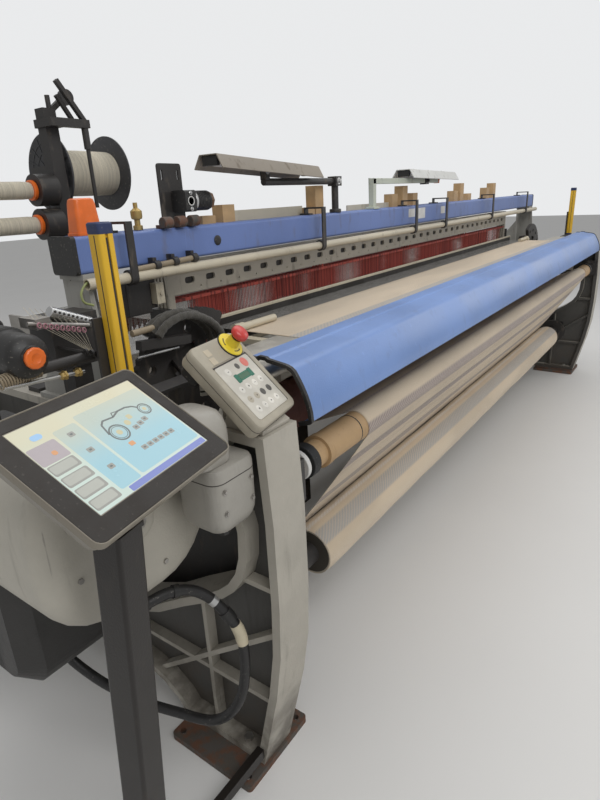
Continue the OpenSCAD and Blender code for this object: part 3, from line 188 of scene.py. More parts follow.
def cast_paint(name, color, roughness=0.55, foot=True, web_shade=None, rust=0.0):
    """Thick paint on a sand casting: pitted, with runs, scratches, and grime towards the floor."""
    f = Finish(name, color, roughness)
    x, _, z = f.xyz()
    patches = f.noise(0.22, 5).smooth(0.3, 0.7)
    runs = f.noise(0.03, 5, (1, 1, 0.12)).smooth(0.55, 0.75)
    scratches = f.noise(0.02, 6, (1, 1, 0.05)).smooth(0.68, 0.73)
    tone = f.mix(patches, shade(color, 0.86), shade(color, 1.05))
    tone = f.mix(runs * 0.35, tone, shade(color, 0.55))
    tone = f.mix(scratches * 0.4, tone, (0.09, 0.08, 0.07))
    if web_shade:
        # Sideways faces set back from the frame's outer faces, the ribbed web in its recesses, are painted darker:
        # painted shade.
        sideways = f.split(f.node("NewGeometry", out=1))[0].absolute().smooth(0.6, 0.8)
        left_face = (x - (LEG[0] + 0.02)).smooth(0.0, 0.004)
        right_face = (x - (LEG[0] + FRAME_W - 0.02)).smooth(-0.004, 0.0, 1.0, 0.0)
        tone = f.mix(sideways * (left_face * right_face), tone, web_shade)
    if foot:
        grime = z.smooth(0.0, 0.42, 1.0, 0.0) * f.noise(0.08, 5).smooth(0.3, 0.62)
        tone = f.mix(grime * 0.8, tone, (0.085, 0.07, 0.055))
    if rust:
        tone = f.mix(f.noise(0.03, 6).smooth(0.42, 0.62) * rust, tone, (0.15, 0.062, 0.032))
    f.set(Base_Color=tone, Roughness=runs * 0.2 + roughness)
    f.bump(f.noise(0.006, 4) + f.noise(0.05, 2) * 2.0, 0.0008)


def bare_metal(name, color, roughness=0.35, along=(0.02, 1, 1), dull=0.5):
    """Brushed or turned metal with dull patches and oil stains."""
    f = Finish(name, color, roughness, 1.0)
    brushing = f.noise(0.0022, 3, along)
    stains = f.noise(0.09, 5).smooth(0.45, 0.72)
    tone = f.mix(stains * dull, color, shade(color, 0.42))
    f.set(Base_Color=tone, Roughness=brushing * 0.18 + stains * 0.25 + roughness, Metallic=stains * -0.35 + 1.0)
    f.bump(brushing, 0.0002)


def plastic(name, color, roughness=0.45, grain=0.0012, dust=0.2, coat=0.0):
    """Moulded plastic with a fine grain, rubbed patches and dust."""
    f = Finish(name, color, roughness, Coat_Weight=coat)
    grease = f.noise(0.05, 5).smooth(0.4, 0.7)
    specks = f.noise(0.006, 4).smooth(0.62, 0.72) * dust
    tone = f.mix(grease, shade(color, 0.9), shade(color, 1.06))
    tone = f.mix(specks, tone, (0.42, 0.38, 0.32))
    f.set(Base_Color=tone, Roughness=grease * 0.15 + roughness)
    f.bump(f.noise(grain, 2), 0.00015)


def cloth(name, color, stripes_and_shade=()):
    """Plain weave with slubs, and bands of colour across it, each given as (from, to, depth, color) along its run;
    the bands stand for woven stripes, painted shade and painted highlights.
    """
    f = Finish(name, color, 0.85, Sheen_Weight=0.25)
    u, v, _ = f.xyz("UV")
    ends = (u * (2 * math.pi / 0.0026)).sine()
    picks = (v * (2 * math.pi / 0.003)).sine()
    slubs = f.node("TexNoise", values={"Vector": f.place((0.05, 1, 1)), "Scale": 900.0, "Detail": 2.0})
    bands = f.node("TexNoise", values={"Vector": f.place((0.25, 1, 1)), "Scale": 7.0, "Detail": 3.0})
    tone = f.mix(bands.smooth(0.35, 0.65), shade(color, 0.9), shade(color, 1.05))
    tone = f.mix((ends * picks).smooth(-1.0, 1.0) * 0.16, tone, shade(color, 0.6))
    tone = f.mix(slubs.smooth(0.6, 0.8) * 0.25, tone, shade(color, 0.7))
    hatch = ((u * 0.7 + v) * (2 * math.pi / 0.013)).sine().smooth(-0.5, 0.5)
    for low, high, depth, color_of in stripes_and_shade:
        inside = v.smooth(low - 0.006, low + 0.006) * v.smooth(high - 0.006, high + 0.006, 1.0, 0.0)
        tone = f.mix(inside * (hatch * 0.4 + 0.6) * depth, tone, color_of)
    f.set(Base_Color=tone)
    f.bump(ends * picks + slubs * 2.0, 0.0003)


def threads(name, color, pitch, dark=0.45):
    """Parallel threads side by side along the machine, with painted shade in the grooves between them."""
    f = Finish(name, color, 0.8, Sheen_Weight=0.2)
    lane = f.xyz()[0] * (1 / pitch)
    round_top = ((lane * math.pi).sine()).absolute()
    number = lane.floor()
    shade_of = f.node("TexWhiteNoise", {"noise_dimensions": "1D"}, {"W": number})
    tone = f.mix(shade_of, shade(color, 0.8), shade(color, 1.08))
    # Painted shade: the grooves between threads are darkened.
    tone = f.mix(round_top.smooth(0.0, 0.7, 1.0, 0.0), tone, shade(color, dark))
    f.set(Base_Color=tone)
    f.bump(round_top, 0.0006)


def glow(name, color, strength, page=False):
    """A lit page or display: dull plastic that gives off its own colour, warmer towards its far edge."""
    f = Finish(name, shade(color, 0.25), 0.22, Emission_Strength=strength, Coat_Weight=0.2)
    if page:
        warm = f.xyz()[2].smooth(1.135, 1.195) * (f.noise(0.16, 2).smooth(0.3, 0.7) * 0.3 + 0.6)
        f.set(Emission_Color=f.mix(warm, color, (0.92, 0.68, 0.3)))
    else:
        f.set(Emission_Color=f.mix(f.noise(0.01, 2), shade(color, 0.94), shade(color, 1.05)))
    f.set(Roughness=f.noise(0.04, 4).smooth(0.3, 0.7) * 0.12 + 0.16)


def striped_wires(name, color, dark, pitch):
    """Painted wires side by side: dull, some of them darker."""
    f = Finish(name, color, 0.75)
    number = (f.xyz()[0] * (1 / pitch)).floor()
    dark_wire_mask = f.node("TexWhiteNoise", {"noise_dimensions": "1D"}, {"W": number}).smooth(0.45, 0.8)
    tone = f.mix(dark_wire_mask, color, dark)
    tone = f.mix(f.noise(0.12, 4, (1, 1, 0.3)).smooth(0.4, 0.7) * 0.5, tone, shade(color, 0.6))
    f.set(Base_Color=tone, Roughness=dark_wire_mask * 0.1 + 0.7)


# The record's slots
# The dark colour given for the web is painted shade in the casting's recesses.
cast_paint("frame_paint", (0.45, 0.42, 0.36), web_shade=(0.075, 0.072, 0.066))
painted("cover_blue", (0.185, 0.3, 0.6), 0.3, 0.12)
painted("beam_blue", (0.145, 0.215, 0.47), 0.36, 0.3)
painted("grey_steel", (0.36, 0.35, 0.32), 0.45, 0.4, 0.02)
painted("black_steel", (0.035, 0.032, 0.03), 0.42, 0.5, 0.0)
cast_paint("floor_iron", (0.09, 0.08, 0.07), 0.7, rust=0.8)
# Near-black casting of the gearbox, darkened to match the black inside the machine: partly dark oily iron, partly
# painted shade.
cast_paint("dark_casting", (0.04, 0.038, 0.036), 0.5, False)
bare_metal("bare_steel", (0.45, 0.43, 0.4))
bare_metal("shaft_chrome", (0.62, 0.62, 0.61), 0.18, (0.02, 1, 1), 0.2)
bare_metal("alloy", (0.66, 0.63, 0.56), 0.38, (0.02, 1, 1), 0.35)
painted("rail_cream", (0.56, 0.5, 0.38), 0.4, 0.35)
painted("yellow_paint", (0.78, 0.47, 0.03), 0.35, 0.25)
cast_paint("pale_cover", (0.52, 0.49, 0.42), 0.5, False)
plastic("case_grey", (0.4, 0.37, 0.31), 0.5, dust=0.3)
plastic("foil", (0.6, 0.58, 0.53), 0.4)
plastic("black_plastic", (0.025, 0.024, 0.023), 0.4, dust=0.35)
plastic("yellow_plastic", (0.85, 0.66, 0.04), 0.35)
plastic("red_plastic", (0.62, 0.045, 0.035), 0.3, coat=0.3)
plastic("orange_plastic", (0.86, 0.17, 0.02), 0.35, coat=0.3)
plastic("screen", (0.05, 0.045, 0.04), 0.2, coat=0.5)
plastic("wood", (0.55, 0.36, 0.18), 0.6)
cloth("cloth", (0.62, 0.54, 0.43))
threads("warp", (0.55, 0.5, 0.42), 0.0021)
threads("yarn", (0.75, 0.68, 0.53), 0.0016)
cast_paint("roller_cover", (0.5, 0.33, 0.17), 0.62, False)
plastic("rubber", (0.02, 0.02, 0.02), 0.6)
striped_wires("heald_red", (0.5, 0.085, 0.062), (0.17, 0.04, 0.034), 0.0083)
bare_metal("reed_steel", (0.22, 0.21, 0.2), 0.4, (1, 1, 0.05))
painted("lamp_dust", (0.6, 0.56, 0.46), 0.5, 0.6)
plastic("tape_black", (0.05, 0.045, 0.04), 0.5)

# Finishes of single pieces
painted("heald_rail", (0.5, 0.46, 0.38), 0.42, 0.45, 0.01)
# Dark grey copy of the warp yarn, darker than the same yarn wound on the beam: painted shade under the reed and
# healds.
plastic("warp_thread", (0.3, 0.29, 0.27), 0.8, 0.0006, 0.1)
painted("terminal_rim", (0.27, 0.24, 0.19), 0.32, 0.25)
plastic("bezel_brown", (0.022, 0.017, 0.013), 0.5, 0.0006, 0.08)
plastic("console_case", (0.42, 0.38, 0.3), 0.48, 0.0009, 0.35)
plastic("case_pale", (0.55, 0.48, 0.36), 0.5, 0.0009, 0.3)
plastic("key_foil", (0.6, 0.57, 0.5), 0.42, 0.0008, 0.2)
plastic("key_white", (0.74, 0.71, 0.64), 0.35, 0.0008, 0.15)
plastic("key_tan", (0.48, 0.43, 0.34), 0.4, 0.0008, 0.2)
plastic("key_dark", (0.1, 0.095, 0.085), 0.35, 0.0008, 0.1)
plastic("key_red", (0.75, 0.2, 0.16), 0.35, 0.0008, 0.1)
painted("post_brown", (0.016, 0.0125, 0.0105), 0.32, 0.08)
cast_paint("box_silver", (0.38, 0.36, 0.32), 0.42, False)
plastic("hose_rubber", (0.022, 0.021, 0.021), 0.38, 0.0008, 0.3)
plastic("sleeve_cream", (0.62, 0.55, 0.4), 0.5, 0.0008, 0.3)
plastic("cap_blue", (0.03, 0.045, 0.12), 0.4, 0.0008, 0.2)
plastic("spool_grey", (0.055, 0.055, 0.058), 0.42, 0.001, 0.5)
painted("shade_brown", (0.27, 0.235, 0.19), 0.55, 0.7)
painted("shade_white", (0.66, 0.66, 0.63), 0.45, 0.4)
painted("arm_pale", (0.52, 0.55, 0.46), 0.42, 0.4)
plastic("end_brown", (0.16, 0.085, 0.045), 0.35, 0.0008, 0.3)
# Near-black for the inner layers at the ends of the cloth roll: painted shade.
cast_paint("cloth_end_shade", (0.06, 0.052, 0.04), 0.8, False)
cast_paint("take_up_rubber", (0.12, 0.045, 0.034), 0.7, False)
painted("rod_tan", (0.3, 0.24, 0.16), 0.42, 0.5)
bare_metal("brass", (0.55, 0.4, 0.16), 0.32, (1, 1, 0.05), 0.4)
threads("hose_braid", (0.075, 0.068, 0.055), 0.0026, 0.3)
plastic("ceramic_pink", (0.42, 0.2, 0.24), 0.3, 0.0008, 0.2, 0.3)
plastic("cable_green", (0.36, 0.4, 0.16), 0.4, 0.0008, 0.2)
plastic("plate_white", (0.68, 0.67, 0.64), 0.35, 0.0008, 0.2)
plastic("lcd_frame", (0.02, 0.16, 0.1), 0.35, 0.0008, 0.15)
glow("lcd_green", (0.16, 0.32, 0.2), 0.25)
glow("page_ground", (0.72, 0.86, 0.78), 0.55, True)
glow("page_blue", (0.42, 0.72, 0.82), 0.55, True)
glow("page_bar", (0.22, 0.27, 0.66), 0.6)
glow("page_key", (0.42, 0.42, 0.38), 0.5)
glow("page_key_light", (0.55, 0.56, 0.5), 0.55)
glow("page_mauve", (0.5, 0.44, 0.46), 0.6)
glow("page_line", (0.24, 0.27, 0.26), 0.3)
glow("page_sand", (0.68, 0.62, 0.38), 0.6)
glow("page_orange", (0.8, 0.38, 0.16), 0.6)
glow("page_bright", (0.35, 0.58, 0.86), 0.7)

for part in frame["record"]["subparts"]:
    node = frame["nodes"][part["node"]]
    node.data.materials.clear()
    node.data.materials.append(MATERIALS[part["material_slot"]])
frame["nodes"]["terminal_post"].data.materials[0] = MATERIALS["post_brown"]
frame["nodes"]["take_up_roller"].data.materials[0] = MATERIALS["take_up_rubber"]


def placed(name, data, body):
    """A new object in the scene, which rides on the body."""
    obj = bpy.data.objects.new(name, data)
    bpy.context.collection.objects.link(obj)
    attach(obj, body)
    return obj


class Shape:
    """Collects points and faces of one piece, and turns them into an object that rides on a body."""

    def __init__(self):
        self.points = []
        self.faces = []

    def add(self, points, faces, place=None):
        start = len(self.points)
        self.points += [tuple(place @ Vector(p)) if place else tuple(p) for p in points]
        self.faces += [tuple(i + start for i in face) for face in faces]
        return self

    def rings(self, rings, caps=True, place=None):
        count = len(rings[0])
        points = [p for ring in rings for p in ring]
        faces = [(r * count + i, r * count + (i + 1) % count, (r + 1) * count + (i + 1) % count, (r + 1) * count + i)
            for r in range(len(rings) - 1) for i in range(count)]
        if caps:
            faces += [tuple(reversed(range(count))), tuple(range(len(points) - count, len(points)))]
        return self.add(points, faces, place)

    def bar(self, low, high, place=None):
        (a, b, c), (d, e, f) = low, high
        return self.rings([[(a, b, c), (d, b, c), (d, e, c), (a, e, c)],
            [(a, b, f), (d, b, f), (d, e, f), (a, e, f)]], place=place)

    def plate(self, outline, low, high, place=None):
        return self.rings([[(x, y, low) for x, y in outline], [(x, y, high) for x, y in outline]], place=place)

    def lathe(self, profile, place, sides=32):
        """profile is a list of (radius, height) along the place's own Z."""
        return self.rings([[(r * math.cos(i * 2 * math.pi / sides), r * math.sin(i * 2 * math.pi / sides), h)
            for i in range(sides)] for r, h in profile], place=place)

    def along(self, outline, low, high):
        """An outline of (v, z) points, run along the machine from low to high."""
        return self.rings([[at(u, v, z) for v, z in outline] for u in (low, high)])

    def block(self, u0, u1, v0, v1, z0, z1):
        return self.bar(at(u0, v0, z0), at(u1, v1, z1))

    def shaft(self, low, high, v, z, radius, sides=32):
        """A round bar along the machine, with chamfered ends."""
        c = min(0.0015, radius * 0.15)
        return self.lathe([(radius - c, 0), (radius, c), (radius, high - low - c), (radius - c, high - low)],
            crosswise(low, v, z), sides)

    def tube(self, path, radius, sides=12):
        path = [Vector(p) for p in path]
        rings = []
        side = None
        for i, p in enumerate(path):
            ahead = (path[min(i + 1, len(path) - 1)] - path[max(i - 1, 0)]).normalized()
            if side is None:
                side = ahead.orthogonal().normalized()
            side = (side - ahead * side.dot(ahead)).normalized()
            other = ahead.cross(side)
            r = radius[i] if hasattr(radius, "__len__") else radius
            rings.append([tuple(p + r * (math.cos(a) * side + math.sin(a) * other))
                for a in [k * 2 * math.pi / sides for k in range(sides)]])
        return self.rings(rings)

    def bolt(self, place, radius=0.007, height=0.005):
        """A hexagon head with a washer, standing on the place's own Z."""
        self.lathe([(0, 0), (radius * 1.5, 0), (radius * 1.5, 0.0012), (radius * 0.9, 0.0012)], place, 20)
        return self.lathe([(radius * 0.98, 0.0012), (radius, 0.002), (radius, height),
            (radius * 0.85, height + 0.0008), (0, height + 0.0008)], place, 6)

    def make(self, name, finish, body="frame", bevel=0.0, smooth=35, slot=None):
        mesh = bpy.data.meshes.new(name)
        mesh.from_pydata(self.points, [], self.faces)
        mesh.materials.append(MATERIALS[finish])
        shaped = bmesh.new()
        shaped.from_mesh(mesh)
        bmesh.ops.remove_doubles(shaped, verts=shaped.verts, dist=1e-6)
        bmesh.ops.recalc_face_normals(shaped, faces=shaped.faces)
        shaped.to_mesh(mesh)
        shaped.free()
        if smooth:
            mesh.shade_smooth()
            mesh.set_sharp_from_angle(angle=math.radians(smooth))
        obj = placed(name, mesh, body)
        if bevel:
            round_off = obj.modifiers.new("edges", "BEVEL")
            round_off.width = bevel
            round_off.segments = 3
            round_off.limit_method = "ANGLE"
            round_off.angle_limit = math.radians(35)
            round_off.harden_normals = True
        return obj


def rounded(w, h, r, x=0.0, y=0.0, steps=6):
    """The outline of a rounded rectangle round the point x, y."""
    outline = []
    for cx, cy, start in ((w / 2 - r, h / 2 - r, 0), (r - w / 2, h / 2 - r, 90), (r - w / 2, r - h / 2, 180),
            (w / 2 - r, r - h / 2, 270)):
        for i in range(steps + 1):
            a = math.radians(start + 90 * i / steps)
            outline.append((x + cx + r * math.cos(a), y + cy + r * math.sin(a)))
    return outline


def facing(point, direction):
    """A place whose Z looks along the direction."""
    return Matrix.Translation(point) @ Vector(direction).to_track_quat("Z", "Y").to_matrix().to_4x4()


def front(u, v, z):
    """A place that faces the weaver."""
    return facing(at(u, v, z), (0, -1, 0))


def crosswise(u, v, z):
    """A place whose Z runs along the machine."""
    return facing(at(u, v, z), (1, 0, 0))


def stand(u, v, z):
    return Matrix.Translation(at(u, v, z))


def moved(x, y, z):
    return Matrix.Translation((x, y, z))


def rotated(degrees, axis):
    return Matrix.Rotation(math.radians(degrees), 4, axis)


def curve_points(points, steps):
    """A smooth line through the points."""
    points = [Vector(p) for p in points]
    ends = [2 * points[0] - points[1], *points, 2 * points[-1] - points[-2]]
    line = []
    for a, b, c, d in zip(ends, ends[1:], ends[2:], ends[3:]):
        for i in range(steps):
            t = i / steps
            line.append(0.5 * ((2 * b) + (c - a) * t + (2 * a - 5 * b + 4 * c - d) * t * t
                + (3 * b - a - 3 * c + d) * t * t * t))
    return [*line, points[-1]]


def slotted(shape, outer, holes, low, high, place):
    """A plate with through holes: the outlines are extruded from low to high along the place's own Z."""
    loops = [outer, *holes]
    flat = [[Vector((x, y, 0)) for x, y in loop] for loop in loops]
    points = [p for loop in flat for p in loop]
    tris = tessellate_polygon(flat)
    count = len(points)
    both = [(p.x, p.y, low) for p in points] + [(p.x, p.y, high) for p in points]
    faces = [tuple(t) for t in tris] + [tuple(i + count for i in reversed(t)) for t in tris]
    start = 0
    for loop in flat:
        n = len(loop)
        faces += [(start + i, start + (i + 1) % n, start + (i + 1) % n + count, start + i + count) for i in range(n)]
        start += n
    return shape.add(both, faces, place)


def sheet_of(name, rows, uvs, finish, body):
    """A sheet from rows of points, with its UVs in metres."""
    width = len(rows[0])
    mesh = bpy.data.meshes.new(name)
    faces = [(i * width + j, i * width + j + 1, (i + 1) * width + j + 1, (i + 1) * width + j)
        for i in range(len(rows) - 1) for j in range(width - 1)]
    mesh.from_pydata([tuple(p) for row in rows for p in row], [], faces)
    layer = mesh.uv_layers.new(name="UVMap")
    flat = [uv for row in uvs for uv in row]
    for loop in mesh.loops:
        layer.data[loop.index].uv = flat[loop.vertex_index]
    mesh.materials.append(MATERIALS[finish])
    mesh.shade_smooth()
    return placed(name, mesh, body)


# Camera at the photograph's place: 1.5 m high, in front of the terminal
camera_data = bpy.data.cameras.new("camera")
camera_data.lens = 24.98
camera_data.clip_start = 0.02
camera = bpy.data.objects.new("camera", camera_data)
bpy.context.collection.objects.link(camera)
right = Vector((0.576, -0.816, -0.046)).normalized()
ahead = Vector((0.758, 0.555, -0.342)).normalized()
up = right.cross(ahead).normalized()
right = ahead.cross(up)
turn = Matrix((right, up, -ahead)).transposed().to_4x4()
camera.matrix_world = stand(-0.807, -0.68, 1.5) @ turn
bpy.context.scene.camera = camera

# Drain hose: from the elbow below the gear cover, down past the leg and up to the gearbox
HOSE_WIDTH = 0.026
HOSE_ROUTE = curve_points([at(*p) for p in mm(((-205, 205, 672), (-161, 196, 670), (-119, 183, 658), (-87, 164, 635),
    (-66, 140, 603), (-53, 117, 566), (-41, 101, 526), (-38, 92, 482), (-42, 87, 437), (-50, 85, 393), (-64, 86, 350),
    (-82, 98, 311), (-98, 124, 278), (-111, 161, 256), (-120, 204, 245), (-130, 248, 242), (-143, 291, 242),
    (-157, 334, 245), (-170, 377, 250), (-182, 420, 258), (-194, 462, 269), (-205, 502, 285), (-216, 540, 307),
    (-228, 572, 337), (-237, 593, 376), (-240, 600, 417.6)))], 3)


def on_hose(low, high):
    """The hose's own points from low to high along its run."""
    run, part = 0.0, []
    for a, b in zip(HOSE_ROUTE, HOSE_ROUTE[1:]):
        if low <= run <= high:
            part.append(a)
        run += (b - a).length
    return part


def drain_hose():
    curve = bpy.data.curves.new("drain_hose", "CURVE")
    curve.dimensions = "3D"
    curve.bevel_depth = HOSE_WIDTH / 2
    curve.bevel_resolution = 8
    curve.use_fill_caps = True
    line = curve.splines.new("POLY")
    line.use_smooth = True
    line.points.add(len(HOSE_ROUTE) - 1)
    for point, place in zip(line.points, HOSE_ROUTE):
        point.co = (*place, 1.0)
    curve.materials.append(MATERIALS["hose_rubber"])
    hose = placed("drain_hose", curve, "frame")
    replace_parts(hose, "hose")
    for name, finish, low, high, radius in (("hose_ring", "black_plastic", 0.052, 0.085, 0.0165),
            ("hose_clamp", "shaft_chrome", 0.15, 0.195, 0.0142),
            ("hose_connector", "black_plastic", 0.205, 0.25, 0.0168),
            ("hose_sleeve", "sleeve_cream", 0.252, 0.318, 0.0152)):
        path = on_hose(low, high)
        swell = [radius * (0.93 if i in (0, len(path) - 1) else 1.0) for i in range(len(path))]
        Shape().tube(path, swell, 24).make(name, finish, slot="rubber")


drain_hose()


# Places of the shafts as (v, z), in metres
TAKE_UP = (0.3, 0.9)
GUIDE = (0.075, 0.868)
CLOTH_ROLL = (0.254, 0.372)
BACK_REST = (1.5, 1.0459)
WARP_BEAM = (1.42, 0.56)
NOSE = (0.165, 1.0939)
CLOTH_Z = 1.112
FELL = 0.5
BEAM_TOP = 1.4363
LAMP_V = 0.592
GEAR_U, GEAR_Z = -0.221, 0.9
HEALD_HALF = 1.78
REED_HALF = 1.7
BELT_STEP = 0.012


def tangent(p, q):
    """The angle at which a belt leaves roller p for roller q; radii below zero turn clockwise."""
    dv, dz = q[0][0] - p[0][0], q[0][1] - p[0][1]
    return math.atan2(dz, dv) - math.acos((p[1] - q[1]) / math.hypot(dv, dz))


def belt_line(start, rollers):
    """Points (v, z) with their outward normals along a belt that runs over the rollers."""
    angles = [start[2]] + [tangent(p, q) for p, q in zip(rollers, rollers[1:])]
    line = [start]
    turns = []
    for i, (centre, radius) in enumerate(rollers[:-1]):
        a, b = angles[i], angles[i + 1]
        way = (b - a) % (2 * math.pi) if radius > 0 else -((a - b) % (2 * math.pi))
        turns += [(centre, radius, a + way * k / 14) for k in range(15)]
    turns.append((*rollers[-1], angles[-1]))
    for centre, radius, a in turns:
        p = (centre[0] + radius * math.cos(a), centre[1] + radius * math.sin(a), a)
        q = line[-1]
        far = math.hypot(p[0] - q[0], p[1] - q[1])
        count = max(1, int(far / BELT_STEP))
        line += [tuple(q[k] + (p[k] - q[k]) * i / count for k in range(2)) + (a,) for i in range(1, count + 1)]
    return line


def lengths(line):
    total = [0.0]
    for p, q in zip(line, line[1:]):
        total.append(total[-1] + math.hypot(q[0] - p[0], q[1] - p[1]))
    return total


# Cloth: from the fell over the nose, round the take-up roller and the guide tube, to the roll
CLOTH_LINE = belt_line((FELL, CLOTH_Z, math.pi / 2), [(NOSE, 0.0178), (TAKE_UP, -0.0763), (GUIDE, 0.0453),
    (CLOTH_ROLL, -0.0871)])
CLOTH_RUN = lengths(CLOTH_LINE)
LAST_SPAN = next(i for i in range(len(CLOTH_LINE) - 1, 0, -1)
    if math.hypot(CLOTH_LINE[i][0] - GUIDE[0], CLOTH_LINE[i][1] - GUIDE[1]) < 0.0465)
DROP_START, DROP_END = CLOTH_RUN[LAST_SPAN], CLOTH_RUN[-1]
# Bands on the cloth: the grey band on the flat cloth next to the cover is painted shade; the hatched mauve bands on
# the hanging cloth are partly woven pattern, partly painted shade; the white bands are painted highlights on creases;
# the grey band on the roll is partly woven band, partly painted shade.
MAUVE, GREY, WHITE = (0.27, 0.215, 0.21), (0.36, 0.36, 0.36), (0.74, 0.71, 0.66)
cloth("cloth_bands_and_shade", (0.7, 0.575, 0.42), [(0.2, 0.4, 0.8, GREY), (0.985, 1.008, 0.5, MAUVE),
    (1.092, 1.134, 0.95, MAUVE), (1.235, 1.3, 0.95, MAUVE), (1.44, 1.5, 0.85, MAUVE), (1.6, 1.625, 0.7, WHITE)])
cloth("cloth_wound", (0.7, 0.575, 0.42), [(DROP_END + 0.112, DROP_END + 0.13, 0.8, WHITE),
    (DROP_END + 0.156, DROP_END + 0.212, 0.85, GREY)])


def cloth_sheet():
    across = 300
    rows, uvs = [], []
    for (v, z, a), run in zip(CLOTH_LINE, CLOTH_RUN):
        drop = max(0.0, (run - DROP_START) / (DROP_END - DROP_START))
        slack = math.sin(math.pi * min(1.0, drop)) if drop > 0 else 0.0
        row, uv = [], []
        for i in range(across + 1):
            u = MIDDLE - CLOTH_W / 2 + CLOTH_W * i / across
            lift = 0.0
            if slack:
                long_fold = math.sin(drop * 34 + 1.3 * math.sin(u * 1.9) + u * 0.9)
                low_fold = math.sin(drop * 70 + u * 2.6 + 2.0 * math.sin(u * 3.1))
                near_edge = min(1.0, min(i, across - i) / 45)
                near_roll = max(0.0, drop - 0.45)
                lift = near_edge * slack * (0.0022 * long_fold + 0.004 * near_roll * low_fold) + 0.003 * slack
            row.append(at(u, v + lift * math.cos(a), z + lift * math.sin(a)))
            uv.append((u, run))
        rows.append(row)
        uvs.append(uv)
    cloth = sheet_of("cloth_web", rows, uvs, "cloth_bands_and_shade", "frame")
    thick = cloth.modifiers.new("thickness", "SOLIDIFY")
    thick.thickness = 0.0009
    thick.offset = 0.0
    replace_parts(cloth, "fabric")
    return cloth


def cloth_roll_layers():
    """The wound cloth: layers of uneven width, with a wrinkled outer turn."""
    around, along = 72, 180
    rows, uvs = [], []
    for i in range(along + 1):
        u = MIDDLE - 1.668 + 3.336 * i / along
        edge = min(i, along - i)
        row, uv = [], []
        for k in range(around + 1):
            a = 2 * math.pi * (k % around) / around
            r = 0.0848 + 0.0007 * math.sin(3 * a + 5 * u) + 0.0006 * math.sin(a * 5 + 9 * math.sin(u * 1.3))
            r += 0.0005 * math.sin(u * 23 + 2 * a) - (0.004 if edge == 0 else 0.0012 if edge == 1 else 0)
            row.append(at(u, CLOTH_ROLL[0] + r * math.cos(a), CLOTH_ROLL[1] + r * math.sin(a)))
            uv.append((u, DROP_END + 0.085 * a))
        rows.append(row)
        uvs.append(uv)
    roll = sheet_of("wound_cloth", rows, uvs, "cloth_wound", "cloth_roll_set")
    # At the roll's end faces the inner layers are painted near-black as painted shade; only the outer two keep the
    # cloth's colour.
    ends, shaded_layers = Shape(), Shape()
    for side in (-1, 1):
        for k in range(14):
            r = 0.04 + 0.0032 * k
            reach = MIDDLE + side * (1.6655 + 0.0012 * math.sin(k * 2.4))
            (ends if k > 11 else shaded_layers).lathe([(0.0382, 0), (r + 0.0009, 0), (r, side * 0.0012),
                (0.0382, side * 0.0012)], crosswise(reach, *CLOTH_ROLL), 40)
    ends.make("wound_cloth_edges", "cloth", "cloth_roll_set")
    shaded_layers.make("wound_cloth_shaded_ends", "cloth_end_shade", "cloth_roll_set", slot="cloth")
    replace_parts(roll, "cloth_winding")


# Warp threads, reed, healds and drop wires
DENT_PITCH = CLOTH_W / 800


def warp_threads():
    rest = (BACK_REST, -0.0658)
    beam = (WARP_BEAM, -0.2808)
    leave = tangent(rest, beam)
    top = -math.pi / 2
    way = -((top - leave) % (2 * math.pi))
    line = [(v, CLOTH_Z) for v in (FELL, 0.56, 0.7, 1.0, 1.3)]
    line += [(BACK_REST[0] - 0.0661 * math.cos(top + way * k / 7),
        BACK_REST[1] - 0.0661 * math.sin(top + way * k / 7)) for k in range(8)]
    line.append((WARP_BEAM[0] - 0.2812 * math.cos(leave), WARP_BEAM[1] - 0.2812 * math.sin(leave)))
    shape = Shape()
    for n in range(1600):
        u = MIDDLE - CLOTH_W / 2 + DENT_PITCH * (n // 2 + 0.5) + (0.00105 if n % 2 else -0.00105)
        half = 0.00055 + 0.00012 * dice.random()
        lift = [0.0003 * dice.random() for _ in line]
        points = [tuple(at(u + s * half, v, z + up)) for (v, z), up in zip(line, lift) for s in (-1, 1)]
        shape.add(points, [(2 * k, 2 * k + 1, 2 * k + 3, 2 * k + 2) for k in range(len(line) - 1)])
    return shape


def heald_wire(shape, u, v, z0, z1, width):
    """A flat wire with an eye in its middle, where the warp thread passes."""
    eye = CLOTH_Z
    for a, b in ((z0, eye - 0.012), (eye + 0.012, z1)):
        shape.block(u - width / 2, u + width / 2, v, v + 0.0006, a, b)
    for s in (-1, 1):
        shape.bar(at(u + s * 0.0011 - 0.0004, v, eye - 0.012), at(u + s * 0.0011 + 0.0004, v + 0.0007, eye + 0.012))


